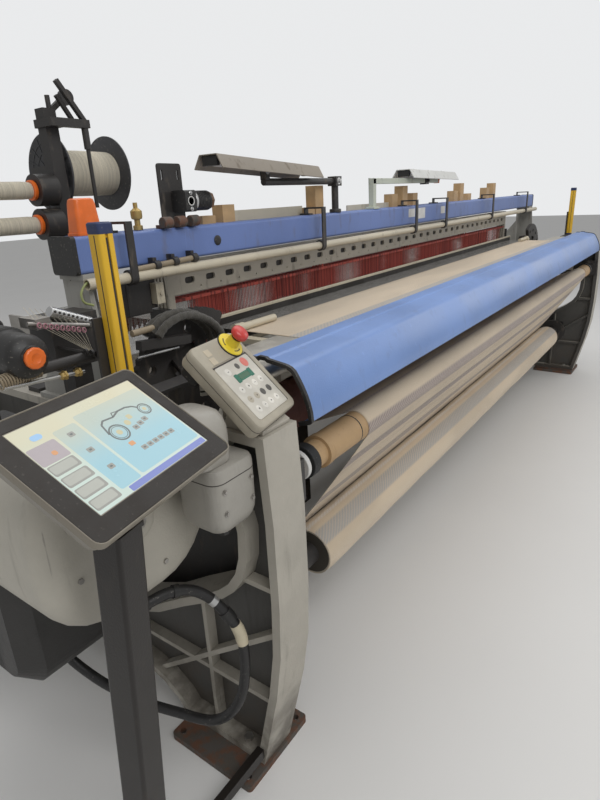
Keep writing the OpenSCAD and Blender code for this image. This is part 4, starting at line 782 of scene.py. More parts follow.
def heald_frame(number):
    body = "heald_" + str(number)
    v = 0.672 + 0.016 * (number - 1)
    low_u, high_u = MIDDLE - HEALD_HALF, MIDDLE + HEALD_HALF
    rail = Shape()
    upright = stand(0, v, 0) @ rotated(90, "X")
    slots = [rounded(0.042, 0.02, 0.007, MIDDLE + (k - 17.5) * 0.096, 1.267, 3) for k in range(36)]
    dots = [rounded(0.006, 0.006, 0.003, MIDDLE + (k - 17) * 0.096, 1.243, 2) for k in range(35)]
    outer = [(low_u, 1.227), (high_u, 1.227), (high_u, 1.325), (low_u, 1.325)]
    slotted(rail, outer, slots + dots if number == 1 else slots, -0.0092, -0.0008, upright)
    for z, rise in ((1.227, 0.006), (1.317, 0.008)):
        rail.bar(at(low_u, v, z), at(high_u, v + 0.01, z + rise))
    rail.bar(at(low_u, v, 0.867), at(high_u, v + 0.01, 0.927))
    for u in (low_u, high_u - 0.028):
        rail.bar(at(u, v + 0.0005, 0.868), at(u + 0.028, v + 0.0095, 1.228))
    rails = rail.make("heald_rails_" + str(number), "heald_rail", body, 0.0008, slot="alloy")
    # A black strip behind frame 1's slots stands in for the shade behind the rail: painted shade.
    if number == 1:
        slot_shade_strip = Shape().block(low_u, high_u, v + 0.0094, v + 0.0098, 1.235, 1.281)
        slot_shade_strip.make("heald_slot_shade_strip", "black_steel", body, slot="alloy")
    wires = Shape()
    for n in range(400):
        u = MIDDLE - CLOTH_W / 2 + DENT_PITCH * (2 * n + 0.5 + 0.5 * (number - 1))
        heald_wire(wires, u, v + 0.0045, 0.94, 1.2065, 0.0021 + 0.0006 * dice.random())
    for z in (0.939, 1.203):
        wires.bar(at(low_u + 0.028, v + 0.003, z), at(high_u - 0.028, v + 0.0065, z + 0.01))
    for share in (0.25, 0.5, 0.75):
        u = low_u + 2 * HEALD_HALF * share
        for a, b in ((0.927, 0.94), (1.212, 1.228)):
            wires.bar(at(u - 0.004, v + 0.002, a), at(u + 0.004, v + 0.007, b))
    wires.make("healds_" + str(number), "heald_red", body, smooth=0, slot="alloy")
    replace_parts(rails, "heald_frame_" + str(number))


def reed():
    z0, v = 1.032, 0.604
    low_u, high_u = MIDDLE - REED_HALF, MIDDLE + REED_HALF
    dents = Shape()
    for n in range(-8, 809):
        u = MIDDLE - CLOTH_W / 2 + DENT_PITCH * n
        dents.bar(at(u - 0.0007, v, z0 + 0.012), at(u + 0.0007, v + 0.008, z0 + 0.105))
    dents = dents.make("reed_dents", "reed_steel", "sley", smooth=0)
    caps = Shape()
    cap = [(v - 0.002, z0 + 0.103), (v + 0.01, z0 + 0.103), (v + 0.01, z0 + 0.111), (v + 0.008, z0 + 0.113),
        (v, z0 + 0.113), (v - 0.002, z0 + 0.111)]
    foot = [(v - 0.002, z0), (v + 0.01, z0), (v + 0.01, z0 + 0.013), (v - 0.002, z0 + 0.013)]
    for outline in (cap, foot):
        caps.along(outline, low_u, high_u)
    caps.make("reed_caps", "rail_cream", "sley", 0.0006, slot="reed_steel")
    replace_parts(dents, "reed")


cloth_web = cloth_sheet()
cloth_roll_layers()
# The warp threads use the darker warp_thread finish: painted shade.
warp = warp_threads().make("warp_threads", "warp_thread", smooth=0, slot="warp")
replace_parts(warp, "warp_sheet")
reed()
for number in (1, 2, 3, 4):
    heald_frame(number)

winding = Shape().lathe(mm([(85.5, -1675), (262, -1675), (274, -1672), (279.5, -1664), (279.5, 1664), (274, 1672),
    (262, 1675), (85.5, 1675)]), crosswise(MIDDLE, *WARP_BEAM), 128)
wound_warp = winding.make("wound_warp", "warp", "warp_beam_set", smooth=60)
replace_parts(wound_warp, "warp_winding")

drop_wires = Shape()
for row in range(6):
    v = 1.09 + 0.032 * row
    for n in range(row, 400, 3):
        u = MIDDLE - CLOTH_W / 2 + DENT_PITCH * (2 * n + 1)
        drop_wires.bar(at(u - 0.0035, v + 0.0015, 1.046), at(u + 0.0035, v + 0.0024, 1.158 + 0.003 * (n % 2)))
drop_wires.make("drop_wires", "shaft_chrome", smooth=0, slot="reed_steel")


# Touch terminal
TERMINAL = stand(-0.328, 0.034, 1.152) @ rotated(11, "Z") @ rotated(31, "X")


def shell(name, outlines, finish, body, place, slot=None, bevel=0.0, caps=True):
    """A form through rounded rectangles, each given as (w, h, r, z, x, y) with its height z and middle x, y."""
    shape = Shape().rings([[(x, y, z) for x, y in rounded(w, h, r, cx, cy)] for w, h, r, z, cx, cy in outlines],
        caps=caps, place=place)
    return shape.make(name, finish, body, bevel, slot=slot)


def stack(layers, x=0.0, y=0.0):
    """Layers (w, h, r, z) of a shell, all round the point x, y."""
    return [(*layer, x, y) for layer in layers]


def terminal():
    case = shell("terminal_shell", stack(mm([(290, 210, 10, -45.8), (298, 218, 14, -45), (316, 236, 16, -16),
        (322, 242, 16, -13.8), (331.5, 251.5, 16.5, -13.2), (331.8, 251.8, 16.5, -11.8), (331.8, 251.8, 16.5, -2.2),
        (331.2, 251.2, 16, -0.8), (330, 250, 15.5, -0.2), (328.5, 248.5, 15, -0.3), (326.5, 246.5, 14.3, -2.2)])),
        "terminal_rim", "terminal", TERMINAL, slot="case_grey")
    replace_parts(case, "terminal_case")
    lugs, half_turn = Shape(), [math.pi * k / 12 for k in range(1, 12)]
    outline = mm([(-17, -45.5), (17, -45.5), (16, -64)])
    outline += [(0.015 * math.cos(a), -0.068 - 0.015 * math.sin(a)) for a in half_turn] + [(-0.016, -0.064)]
    for s in (-1, 1):
        x = s * 0.03
        lugs.rings([[(x + e * 0.005, y, z) for y, z in outline] for e in (-1, 1)], place=TERMINAL)
        lugs.bolt(TERMINAL @ moved(x + s * 0.0052, 0, -0.068) @ rotated(90 * s, "Y"), 0.008, 0.006)
    lugs.make("terminal_lugs", "case_grey", "terminal", 0.001)
    bezel = shell("terminal_bezel", [*stack(mm([(326.2, 246.2, 14.2, -4.5), (326.2, 246.2, 14.2, -1.6),
        (325.4, 245.4, 13.9, -1.2)])), mm((266, 191, 2, -1.2, 6, 6)), mm((265.6, 190.6, 2, -2, 6, 6)),
        mm((264, 189, 2, -2.4, 6, 6))], "bezel_brown", "terminal", TERMINAL, slot="screen")
    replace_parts(bezel, "terminal_screen")


def screen_piece(name, finish, outlines, height):
    shape = Shape()
    middle = moved(0.006, 0.006, 0) @ Matrix.Diagonal((1.11, 1.11, 1.0, 1.0))
    for outline in outlines:
        shape.plate(outline, -0.0023, -0.0021 + height * 0.00006, TERMINAL @ middle)
    shape.make(name, finish, "terminal", smooth=0, slot="screen")


def box_at(x, y, w, h, r):
    return rounded(w, h, r, x, y, 3)


def ring_of(x, y, r, t):
    """A flat ring as short segments."""
    parts = []
    for k in range(28):
        a, b = 2 * math.pi * k / 28, 2 * math.pi * (k + 1) / 28
        parts.append([(x + q * math.cos(c), y + q * math.sin(c))
            for q, c in ((r, a), (r, b), (r - t, b), (r - t, a))])
    return parts


def stroke(points, width):
    parts = []
    for (a, b), (c, d) in zip(points, points[1:]):
        far = math.hypot(c - a, d - b) or 1
        nx, ny = (b - d) / far * width / 2, (c - a) / far * width / 2
        parts.append([(a - nx, b - ny), (c - nx, d - ny), (c + nx, d + ny), (a + nx, b + ny)])
    return parts


def screen_page():
    """A plain page: a column of keys, two panels, a side view of the warp's way, and small icons."""
    screen_piece("page_ground", "page_ground", [box_at(0, 0, 0.236, 0.168, 0.0005)], 0)
    screen_piece("page_panels", "page_blue", [box_at(-0.046, -0.008, 0.04, 0.128, 0.004),
        box_at(0.047, -0.002, 0.136, 0.134, 0.004)], 1)
    screen_piece("page_bar", "page_bar", [box_at(0.03, -0.0785, 0.172, 0.01, 0.002)], 2)
    keys = [box_at(-0.094, -0.069 + 0.0235 * k, 0.044, 0.019, 0.003) for k in range(4)]
    screen_piece("page_keys", "page_key", keys, 2)
    screen_piece("page_key_tops", "page_key_light", [box_at(-0.095, -0.0683 + 0.0235 * k, 0.038, 0.014, 0.003)
        for k in range(4)], 3)
    screen_piece("page_mauve", "page_mauve", [box_at(-0.094, 0.03, 0.046, 0.034, 0.003)], 2)
    wheels = ring_of(0.014, 0.006, 0.0165, 0.0026) + ring_of(0.088, 0.022, 0.012, 0.0022)
    wheels += ring_of(0.014, 0.006, 0.0125, 0.001) + ring_of(0.088, 0.022, 0.0085, 0.001)
    path = mm([(-2.5, 10), (2, 30), (10, 36), (30, 34), (46, 40), (62, 40), (74, 36), (80, 30)])
    wheels += stroke(path, 0.003) + stroke(mm([(30, 34), (34, 42), (46, 40)]), 0.0016)
    screen_piece("page_wheels", "page_line", wheels, 4)
    screen_piece("page_hubs", "page_sand", [rounded(0.01, 0.01, 0.005, 0.014, 0.006, 4),
        rounded(0.007, 0.007, 0.0035, 0.088, 0.022, 4), rounded(0.011, 0.011, 0.0055, 0.04, 0.014, 4),
        rounded(0.009, 0.009, 0.002, 0.052, 0.022, 4)], 4)
    small = mm([(44, 0), (57, 3), (70, 6)]) + [(0.022 + 0.0125 * k, -0.036) for k in range(6)]
    small += mm([(-46, 40), (-46, 4), (-46, -34)])
    screen_piece("page_icons", "page_key", [box_at(x, y, 0.0105, 0.0085, 0.0015) for x, y in small], 5)
    screen_piece("page_icon_marks", "page_line", [box_at(x, y, 0.0045, 0.003, 0.001) for x, y in small], 6)
    screen_piece("page_signs", "page_orange", [box_at(0.012, -0.02, 0.01, 0.008, 0.002),
        box_at(-0.088, 0.026, 0.008, 0.008, 0.003)], 6)
    screen_piece("page_round", "page_bright", [rounded(0.018, 0.01, 0.005, -0.088, 0.06, 4)], 6)


# Key console
CONSOLE = stand(-0.022, -0.006, 1.062) @ rotated(11, "Z") @ rotated(45, "X")


def key_console():
    w, h, x, y = 0.175, 0.225, 0.0875, 0.1125
    body = [(w - less, h - less, r, z, x, y) for less, r, z in mm([(16, 12, -41.8), (6, 16, -40.5), (1, 18, -34),
        (0.5, 18, -10), (1.5, 17.5, -4.5), (6, 16, -1.2), (13, 13, -0.1), (17, 11, -0.1)])]
    recess = [(0.14, 0.15, 0.008, -0.0001, x, 0.092), (0.138, 0.148, 0.008, -0.0016, x, 0.092),
        (0.1325, 0.1425, 0.007, -0.0018, x, 0.09)]
    case = shell("console_shell", body + recess, "console_case", "frame", CONSOLE, slot="case_grey")
    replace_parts(case, "console_case")
    shelf = Shape().plate(rounded(0.06, 0.05, 0.01, 0.05, h - 0.034), -0.072, -0.0415, CONSOLE)
    shelf.make("console_gland", "rubber", bevel=0.002)
    bracket = Shape().along(mm([(22, 1030.5), (134, 1030.5), (112, 1085), (60, 1060), (20, 1040)]), 0.012, 0.108)
    bracket.make("console_bracket", "frame_paint", bevel=0.002)
    inner, outline = (w - 0.001, h - 0.001, 0.018), (w + 0.0006, h + 0.0006, 0.0182)
    shell("console_seam", [(*size, z, x, y) for size, z in ((inner, -0.019), (outline, -0.0188), (outline, -0.018),
        (inner, -0.0178))], "tape_black", "frame", CONSOLE, caps=False)
    foil = shell("key_foil", [(0.132, 0.142, 0.007, -0.002, x, 0.09), (0.132, 0.142, 0.007, -0.0008, x, 0.09),
        (0.1314, 0.1414, 0.0067, -0.0005, x, 0.09)], "key_foil", "frame", CONSOLE, slot="foil")
    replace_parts(foil, "keypad")
    edge = Shape()
    for a, b in mm((((20.5, 160.5), (154.5, 164)), ((153, 20.5), (154.8, 162)))):
        edge.plate([(a[0], a[1]), (b[0], a[1]), (b[0], b[1]), (a[0], b[1])], -0.0009, -0.0002, CONSOLE)
    edge.make("foil_edge", "tape_black", smooth=0)


def keys():
    rows = {"key_white": [], "key_dark": [], "key_tan": [], "key_red": []}
    for j in range(3):
        for i in range(4):
            kind = "key_dark" if (j == 1 and i > 1) else "key_tan" if j == 1 else "key_white"
            rows[kind].append((0.0475 + 0.027 * i, 0.04 + 0.0265 * j, 0.0078))
    rows["key_red"].append((0.125, 0.145, 0.0115))
    rows["key_dark"].append((0.093, 0.144, 0.0068))
    rows["key_white"].append((0.052, 0.141, 0.0085))
    for finish, places in rows.items():
        shape = Shape()
        for kx, ky, r in places:
            profile = [(r + 0.0008, 0), (r + 0.0006, 0.0003), (r, 0.0006), (r * 0.6, 0.0009), (0, 0.001)]
            shape.lathe(profile, CONSOLE @ moved(kx, ky, -0.0006), 24)
        shape.make("keys_" + finish[4:], finish, slot="foil")
    marks = Shape()
    for kx, ky, r in rows["key_white"] + rows["key_tan"]:
        place = CONSOLE @ moved(kx, ky, 0.0002)
        kind = int(kx * 1000 + ky * 700) % 4
        if kind == 0:
            marks.lathe(mm([(1.6, 0), (1.6, 0.4), (0, 0.4)]), place, 12)
        elif kind == 1:
            marks.add(mm([(-2, -2, 0.4), (2.6, 0, 0.4), (-2, 2, 0.4)]), [(0, 1, 2)], place)
        elif kind == 2:
            marks.bar((-0.0024, -0.0006, 0), (0.0024, 0.0006, 0.0004), place)
        else:
            marks.bar((-0.0018, -0.0018, 0), (0.0018, 0.0018, 0.0004), place)
    marks.make("key_signs", "tape_black", smooth=0)
    lcd = Shape()
    tilted = CONSOLE @ moved(0.09, 0.1185, -0.0005)
    lcd.plate(rounded(0.066, 0.0175, 0.003), 0.0, 0.0005, tilted)
    for x in (-0.027, 0.027):
        lcd.plate(rounded(0.012, 0.0215, 0.002, x), 0.0, 0.0007, tilted)
    lcd.make("display_frame", "lcd_frame", slot="foil")
    glass = Shape().plate(rounded(0.04, 0.012, 0.001), 0.0004, 0.0008, tilted)
    glass.make("display_glass", "lcd_green", slot="foil")
    plates = Shape()
    for px, py in ((0.043, 0.1985), (0.04, 0.177)):
        plates.plate(rounded(0.019, 0.017, 0.002, px, py), -0.0002, 0.0005, CONSOLE)
    plates.make("console_plates", "case_pale", slot="case_grey")


def stop_button():
    base = CONSOLE @ moved(0.128, 0.194, 0)
    collar = Shape().lathe(mm([(8.6, 0.4), (30.8, 0.4), (31, 1), (31, 3.2), (30.2, 4.2), (27, 5.2), (24.5, 5.5),
        (18, 5.8), (16, 6.6), (15, 10), (14.2, 18), (13.8, 25.6), (12.8, 26), (8.6, 26), (8.6, 0.4)]), base, 48)
    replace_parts(collar.make("stop_collar", "yellow_plastic"), "estop_collar")
    gasket = Shape().lathe(mm([(31.2, 0), (33, 0.2), (33, 1.6), (31.2, 2.2)]), base, 48)
    gasket.make("stop_gasket", "rubber")
    arrows = Shape()
    for k in range(3):
        for n in range(7):
            a, b = math.radians(120 * k + n * 7), math.radians(120 * k + n * 7 + 7)
            arrows.add([(r * math.cos(c), r * math.sin(c), 0.0059 - (r - 0.018) * 0.03)
                for r, c in ((0.0205, a), (0.0232, a), (0.0232, b), (0.0205, b))], [(0, 1, 2, 3)], base)
        a, b = math.radians(120 * k + 48), math.radians(120 * k + 58)
        arrows.add([(r * math.cos(c), r * math.sin(c), 0.0059)
            for r, c in ((0.019, a), (0.0247, a), (0.0218, b))], [(0, 1, 2)], base)
    arrows.make("stop_arrows", "tape_black", smooth=0)
    knob = Shape().lathe(mm([(0, 4.6), (7.8, 4.6), (7.8, 30.6), (15, 31), (17.8, 32.4), (19.6, 34.7), (20, 37.5),
        (20, 41.5), (19.2, 44.5), (17.2, 47), (13, 48.8), (6, 49.7), (0, 49.9)]), base, 48)
    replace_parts(knob.make("stop_knob", "red_plastic", "estop"), "estop_button")
    Shape().lathe(mm([(12.6, 25.8), (12.6, 26.3), (8.8, 26.3)]), base, 36).make("stop_ring", "tape_black")


for build in (terminal, screen_page, key_console, keys, stop_button):
    build()


# Breast cover: a bent sheet with a raised crest
COVER = mm([(34, 1000), (6, 1008), (2, 1012), (4, 1033.7), (9.1, 1054.9), (16.3, 1074.6), (24.3, 1092), (32, 1106),
    (38, 1116), (45.1, 1127.1), (54, 1134), (64.4, 1137.9), (76, 1140), (119, 1146), (125, 1150), (145, 1151),
    (151, 1146), (177, 1147), (185, 1138)])
COVER_U, COVER_LONG = 0.172, 3.956


def breast_cover():
    outer = [Vector((0, v, z)) for v, z in COVER[:2]]
    outer += curve_points([Vector((0, v, z)) for v, z in COVER[2:13]], 3)
    outer += [Vector((0, v, z)) for v, z in COVER[13:]]
    inner = []
    for i, p in enumerate(outer):
        way = (outer[min(i + 1, len(outer) - 1)] - outer[max(i - 1, 0)]).normalized()
        inner.append(p + 0.0028 * Vector((0, way.z, -way.y)))
    outline = [(p.y, p.z) for p in outer + inner[::-1]]
    sheet = Shape().rings([[at(COVER_U + COVER_LONG * k / 48, v, z) for v, z in outline] for k in range(49)])
    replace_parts(sheet.make("breast_cover_sheet", "cover_blue", smooth=22), "breast_cover")
    ribs, outline = Shape(), mm([(30, 1040), (60, 1118), (120, 1136), (120, 1128), (70, 1110), (36, 1036)])
    for k in range(1, 6):
        u = COVER_U + COVER_LONG * k / 6
        ribs.along(outline, u - 0.003, u + 0.003)
    ribs.make("cover_ribs", "cover_blue")


# Black sheet behind the left leg, on three spacers: painted shade for the dark inside of the machine seen through the
# arch
def guard_sheet():
    sheet = Shape()
    outline = mm([(250, 640), (250, 470), (310, 400), (320, 300), (480, 300), (480, 275), (720, 275), (720, 640),
        (460, 640), (460, 900), (420, 900), (420, 640)])
    sheet.along(outline, 0.16, 0.166)
    for v, z in mm(((345, 425), (600, 292), (436, 872))):
        sheet.shaft(0.072, 0.16, v, z, 0.009)
        sheet.bolt(crosswise(0.166, v, z), 0.008, 0.006)
    sheet.make("guard_sheet", "black_steel", bevel=0.0015)


# Rings of the guide tube, and a black panel behind the cloth's left edge: painted shade there
def guide_rings():
    for name, finish, low, high, radius in (("guide_ring_dark", "rubber", 0.214, 0.244, 0.0452),
            ("guide_ring_line", "rubber", 0.452, 0.459, 0.0444),
            ("guide_ring_pale", "plate_white", 0.192, 0.206, 0.0405)):
        for u in (low, FRAME_W - high):
            ring = Shape().shaft(u, u + high - low, *GUIDE, radius, 40)
            ring.make(name + ("_left" if u == low else "_right"), finish, "guide", slot="roller_cover")


def cloth_panel():
    # A bolted black panel that paints the shade behind the cloth's left edge.
    panel = Shape().block(0.168, 0.64, 0.352, 0.356, 0.47, 0.8)
    for u in (0.2, 0.61):
        for z in (0.495, 0.775):
            panel.bolt(front(u, 0.352, z), 0.006, 0.005)
    panel.block(0.16, 0.172, 0.356, 0.42, 0.6, 0.64)
    panel.make("cloth_panel", "black_steel", bevel=0.001)


# Side box with its hood and drain plug
def side_box():
    ground = stand(0, 0, 0)
    box = shell("side_box_shell", stack(mm([(70, 66, 20, 842), (88, 84, 24, 845.5), (108, 102, 27, 853),
        (122, 115, 29, 864), (129, 122, 29, 878), (130.5, 123.5, 28, 896), (130.5, 123.5, 28, 982),
        (128.5, 121.5, 28, 992), (123, 116, 27, 998.5), (112, 105, 26, 1000.8)]), -0.066, 0.092), "box_silver",
        "frame", ground, slot="grey_steel")
    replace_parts(box, "side_box")
    shell("side_box_hood", stack(mm([(98, 123, 33, 1001), (103.5, 128.5, 34, 1005), (104, 129, 34, 1060),
        (101.5, 126.5, 34, 1078), (94, 117, 32, 1094), (82, 102, 30, 1106), (62, 80, 26, 1113),
        (40, 52, 18, 1116.5)]), -0.098, 0.111), "box_silver", "frame", ground, slot="grey_steel")
    shell("side_box_seam", stack(mm([(130.2, 123.2, 28, 970), (131.6, 124.6, 28.5, 970.4), (131.6, 124.6, 28.5, 972),
        (130.2, 123.2, 28, 972.4)]), -0.066, 0.092), "tape_black", "frame", ground, caps=False)
    small = Shape()
    for u in (-0.106, -0.026):
        for z in (0.902, 0.952):
            small.bolt(front(u, 0.0304, z), 0.0045, 0.004)
    small.make("side_box_bolts", "bare_steel")
    plug = Shape().lathe(mm([(12.5, 0), (14, 2), (14, 14.5)]), stand(-0.078, 0.074, 0.8275), 8)
    plug.make("side_box_plug", "black_plastic")


# Gear cover with its middle cap, its bolts and the elbow of the hose
def gear_cover():
    place = stand(GEAR_U, 0, GEAR_Z) @ rotated(90, "X")
    cover = shell("gear_cover_shell", [(w, w - 0.018, r, -v, 0.0, 0.0)
        for w, r, v in mm(((418, 150, 420), (418, 150, 222), (416.5, 149, 212), (411, 147, 203), (401, 144, 195),
        (387, 139, 188), (370, 133, 183), (350, 125, 179.5), (328, 116, 177.2), (300, 104, 176)))], "pale_cover",
        "frame", place)
    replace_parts(cover, "gear_cover")
    cap = Shape().lathe(mm([(46, 0), (44.5, 4), (40, 7.2), (30, 8)]), front(GEAR_U, 0.1762, GEAR_Z), 40)
    cap.make("gear_cover_cap", "pale_cover")
    elbow = Shape()
    bend = mm([(-238, 212, 712), (-238, 212, 690), (-236, 211.5, 681), (-230, 210, 675), (-220, 208, 672.2),
        (-205.5, 205.1, 672)])
    elbow.tube([at(*p) for p in bend], mm([19, 17, 17, 17, 17, 15.5]), 24)
    elbow.make("hose_elbow", "black_plastic", slot="pale_cover")
    bolts = Shape()
    for k in range(8):
        a = math.radians(22.5 + 45 * k)
        u, z = GEAR_U + 0.15 * math.cos(a), GEAR_Z + 0.142 * math.sin(a)
        bolts.bolt(front(u, 0.1785, z), 0.0065, 0.006)
    bolts.bolt(front(GEAR_U, 0.1682, GEAR_Z), 0.013, 0.009)
    bolts.make("gear_cover_bolts", "bare_steel")


# Light curtains: a yellow profile with a dark seam, caps and a bracket at each end of the machine
def light_curtains():
    profile, seam, caps, bracket = Shape(), Shape(), Shape(), Shape()
    for side in (-1, 1):
        middle = -0.116 if side < 0 else FRAME_W + 0.116
        place = stand(middle, 0.286, 0)
        outline = [(x, y) for x, y in rounded(0.034, 0.038, 0.005, steps=3) if y > -0.0189 or abs(x) > 0.0045]
        cut_at = next(i for i, (x, y) in enumerate(outline) if y < -0.018 and x > 0)
        outline[cut_at:cut_at] = mm([(-3.5, -19), (-3.5, -14.5), (3.5, -14.5), (3.5, -19)])
        profile.plate(outline, 1.122, 1.452, place)
        seam.bar((-0.0032, -0.016, 1.13), (0.0032, -0.0147, 1.445), place)
        for x in (-0.0172, 0.0168):
            seam.bar((x, -0.004, 1.124), (x + 0.0004, -0.001, 1.45), place)
        for low, high in ((1.1101, 1.122), (1.452, 1.474)):
            caps.rings([[(x, y, z) for x, y in rounded(w, w + 0.004, 0.0055)]
                for w, z in ((0.0335, low), (0.0352, low + 0.002), (0.0352, high - 0.003), (0.03, high))],
                place=place)
        bracket.block(*sorted((middle + side * 0.018, middle - side * 0.186)), 0.258, 0.314, 1.1022, 1.11)
        bracket.block(*sorted((middle - side * 0.136, middle - side * 0.186)), 0.258, 0.314, 0.9803, 1.1022)
        bracket.block(middle - 0.036, middle + 0.012, 0.3052, 0.3125, 1.1101, 1.29)
        for z in (1.15, 1.25):
            bracket.bolt(facing(at(middle, 0.3125, z), (0, 1, 0)), 0.005, 0.004)
    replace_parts(profile.make("curtain_profiles", "yellow_paint"), "light_curtains")
    seam.make("curtain_seams", "tape_black", slot="yellow_paint")
    caps.make("curtain_caps", "cap_blue", slot="yellow_paint")
    bracket.make("curtain_brackets", "black_steel", bevel=0.001, slot="yellow_paint")


# Flanged spool of the weft, and the two tubes below it
def weft_spool():
    flanges = Shape()
    for low, way in ((0.258, 1), (0.474, -1)):
        place = facing(at(low, 1.01, 1.605), (way, 0, 0))
        flanges.lathe(mm([(10.3, 2), (106, 2), (110, 0.2), (114.2, 0.4), (115, 1.5), (115, 5.2), (113.5, 6),
            (10.3, 6)]), place, 72)
        for k in range(16):
            spin = place @ Matrix.Rotation(2 * math.pi * k / 16, 4, "Z")
            flanges.bar((0.034, -0.0011, 0.0003), (0.107, 0.0011, 0.0022), spin)
        for radius in (0.03, 0.062, 0.088):
            flanges.lathe([(radius, 0.0021), (radius, 0.0004), (radius + 0.0022, 0.0004), (radius + 0.0022, 0.0021)],
                place, 48)
    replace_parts(flanges.make("spool_flanges", "spool_grey", "spool", smooth=30, slot="black_plastic"), "big_spool")
    wound = Shape().lathe(mm([(10.3, 0), (65.5, 0), (66.8, 4), (67.6, 50), (68, 102), (67.6, 150), (66.8, 200),
        (65.5, 204), (10.3, 204)]), crosswise(0.264, 1.01, 1.605), 64)
    wound.make("spool_yarn", "yarn", "spool")
    tubes, rings = Shape(), Shape()
    for z in (1.555, 1.461):
        place = crosswise(-0.092, 0.93, z)
        tubes.lathe(mm([(9.4, 0), (20.5, 0), (22.5, 3), (23.7, 14), (24, 60), (23.6, 130), (24, 200), (23.2, 216),
            (21.5, 226), (9.4, 226)]), place, 40)
        rings.lathe(mm([(9.4, 226.2), (26, 226.2), (28, 228), (28, 235), (26.5, 238), (9.4, 238)]), place, 40)
    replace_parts(tubes.make("tube_yarn", "yarn"), "yarn_tubes")
    rings.make("tube_rings", "orange_plastic", slot="yarn")


# Lamps over the healds: a bent trough on an arm
def lamp_shade(name, finish, body, u, z, length, tilt):
    turned = stand(u, LAMP_V, z) @ rotated(tilt, "Y")
    outline = mm([(-60, -6), (-37.5, 31.5), (-34.5, 34), (34.5, 34), (37.5, 31.5), (60, -6), (57.2, -7.8), (35, 29.5),
        (33.5, 31), (-33.5, 31), (-35, 29.5), (-57.2, -7.8)])
    trough = Shape().rings([[(x, y, h) for y, h in outline] for x in (0.0, length)], place=turned)
    made = trough.make(name + "_shade", finish, body, slot="lamp_dust")
    inside = Shape().lathe([(0.01, 0.0), (0.0128, 0.002), (0.0128, length - 0.042), (0.01, length - 0.04)],
        turned @ moved(0.02, 0, 0.014) @ rotated(90, "Y"), 24)
    inside.make(name + "_tube", "plate_white", body, slot="lamp_dust")
    holders = Shape()
    for x in (0.006, length - 0.02):
        holders.rings([[(x + d, y, h) for y, h in mm(((-30, 2), (-30, 29.5), (30, 29.5), (30, 2)))]
            for d in (0.0, 0.014)], place=turned)
    for x in (0.12, length / 2, length - 0.12):
        holders.bolt(turned @ moved(x, 0, 0.034), 0.005, 0.004)
    holders.make(name + "_holders", "black_plastic", body, 0.001, slot="lamp_dust")
    return made


def lamps():
    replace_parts(lamp_shade("left_lamp", "shade_brown", "left_lamp", 0.52, 1.602, 0.55, 3), "lamp_left")
    arm = Shape()
    up = stand(1.24, LAMP_V, BEAM_TOP)
    arm.lathe(mm([(22, 0), (24, 2), (24, 11), (22.5, 14), (14.2, 14.5), (14, 16), (14, 108), (12, 110)]), up, 32)
    arm.shaft(0.78, 1.262, LAMP_V, 1.556, 0.012)
    arm.block(1.218, 1.262, 0.572, 0.612, 1.538, 1.574)
    arm.block(0.78, 0.804, 0.58, 0.604, 1.562, 1.618)
    arm.make("left_lamp_arm", "black_steel", "left_lamp", 0.0012, slot="lamp_dust")
    bolts = Shape().bolt(front(1.24, 0.572, 1.556), 0.009, 0.009)
    bolts.bolt(front(0.792, 0.58, 1.59), 0.007, 0.007)
    bolts.make("left_lamp_bolts", "shaft_chrome", "left_lamp", slot="lamp_dust")
    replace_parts(lamp_shade("right_lamp", "shade_white", "right_lamp", 1.871, 1.572, 0.6, 1), "lamp_right")
    arm = Shape().block(1.546, 1.574, 0.58, 0.604, BEAM_TOP, 1.566)
    arm.block(1.534, 1.586, 0.569, 0.615, BEAM_TOP, 1.446)
    arm.block(1.546, 2.3, 0.58, 0.604, 1.542, 1.566)
    arm.make("right_lamp_arm", "arm_pale", "right_lamp", 0.002, slot="lamp_dust")
    clamp = Shape().block(2.112, 2.152, 0.575, 0.609, 1.536, 1.572)
    clamp.block(2.12, 2.144, 0.58, 0.604, 1.572, 1.6)
    clamp.bolt(front(2.132, 0.575, 1.554), 0.008, 0.01)
    clamp.make("right_lamp_clamp", "black_steel", "right_lamp", 0.0015, slot="lamp_dust")
    tip = Shape().along(mm([(578, 1540), (606, 1540), (606, 1568), (578, 1568)]), 2.29, 2.303)
    tip.make("right_lamp_tip", "orange_plastic", "right_lamp", 0.002, slot="lamp_dust")


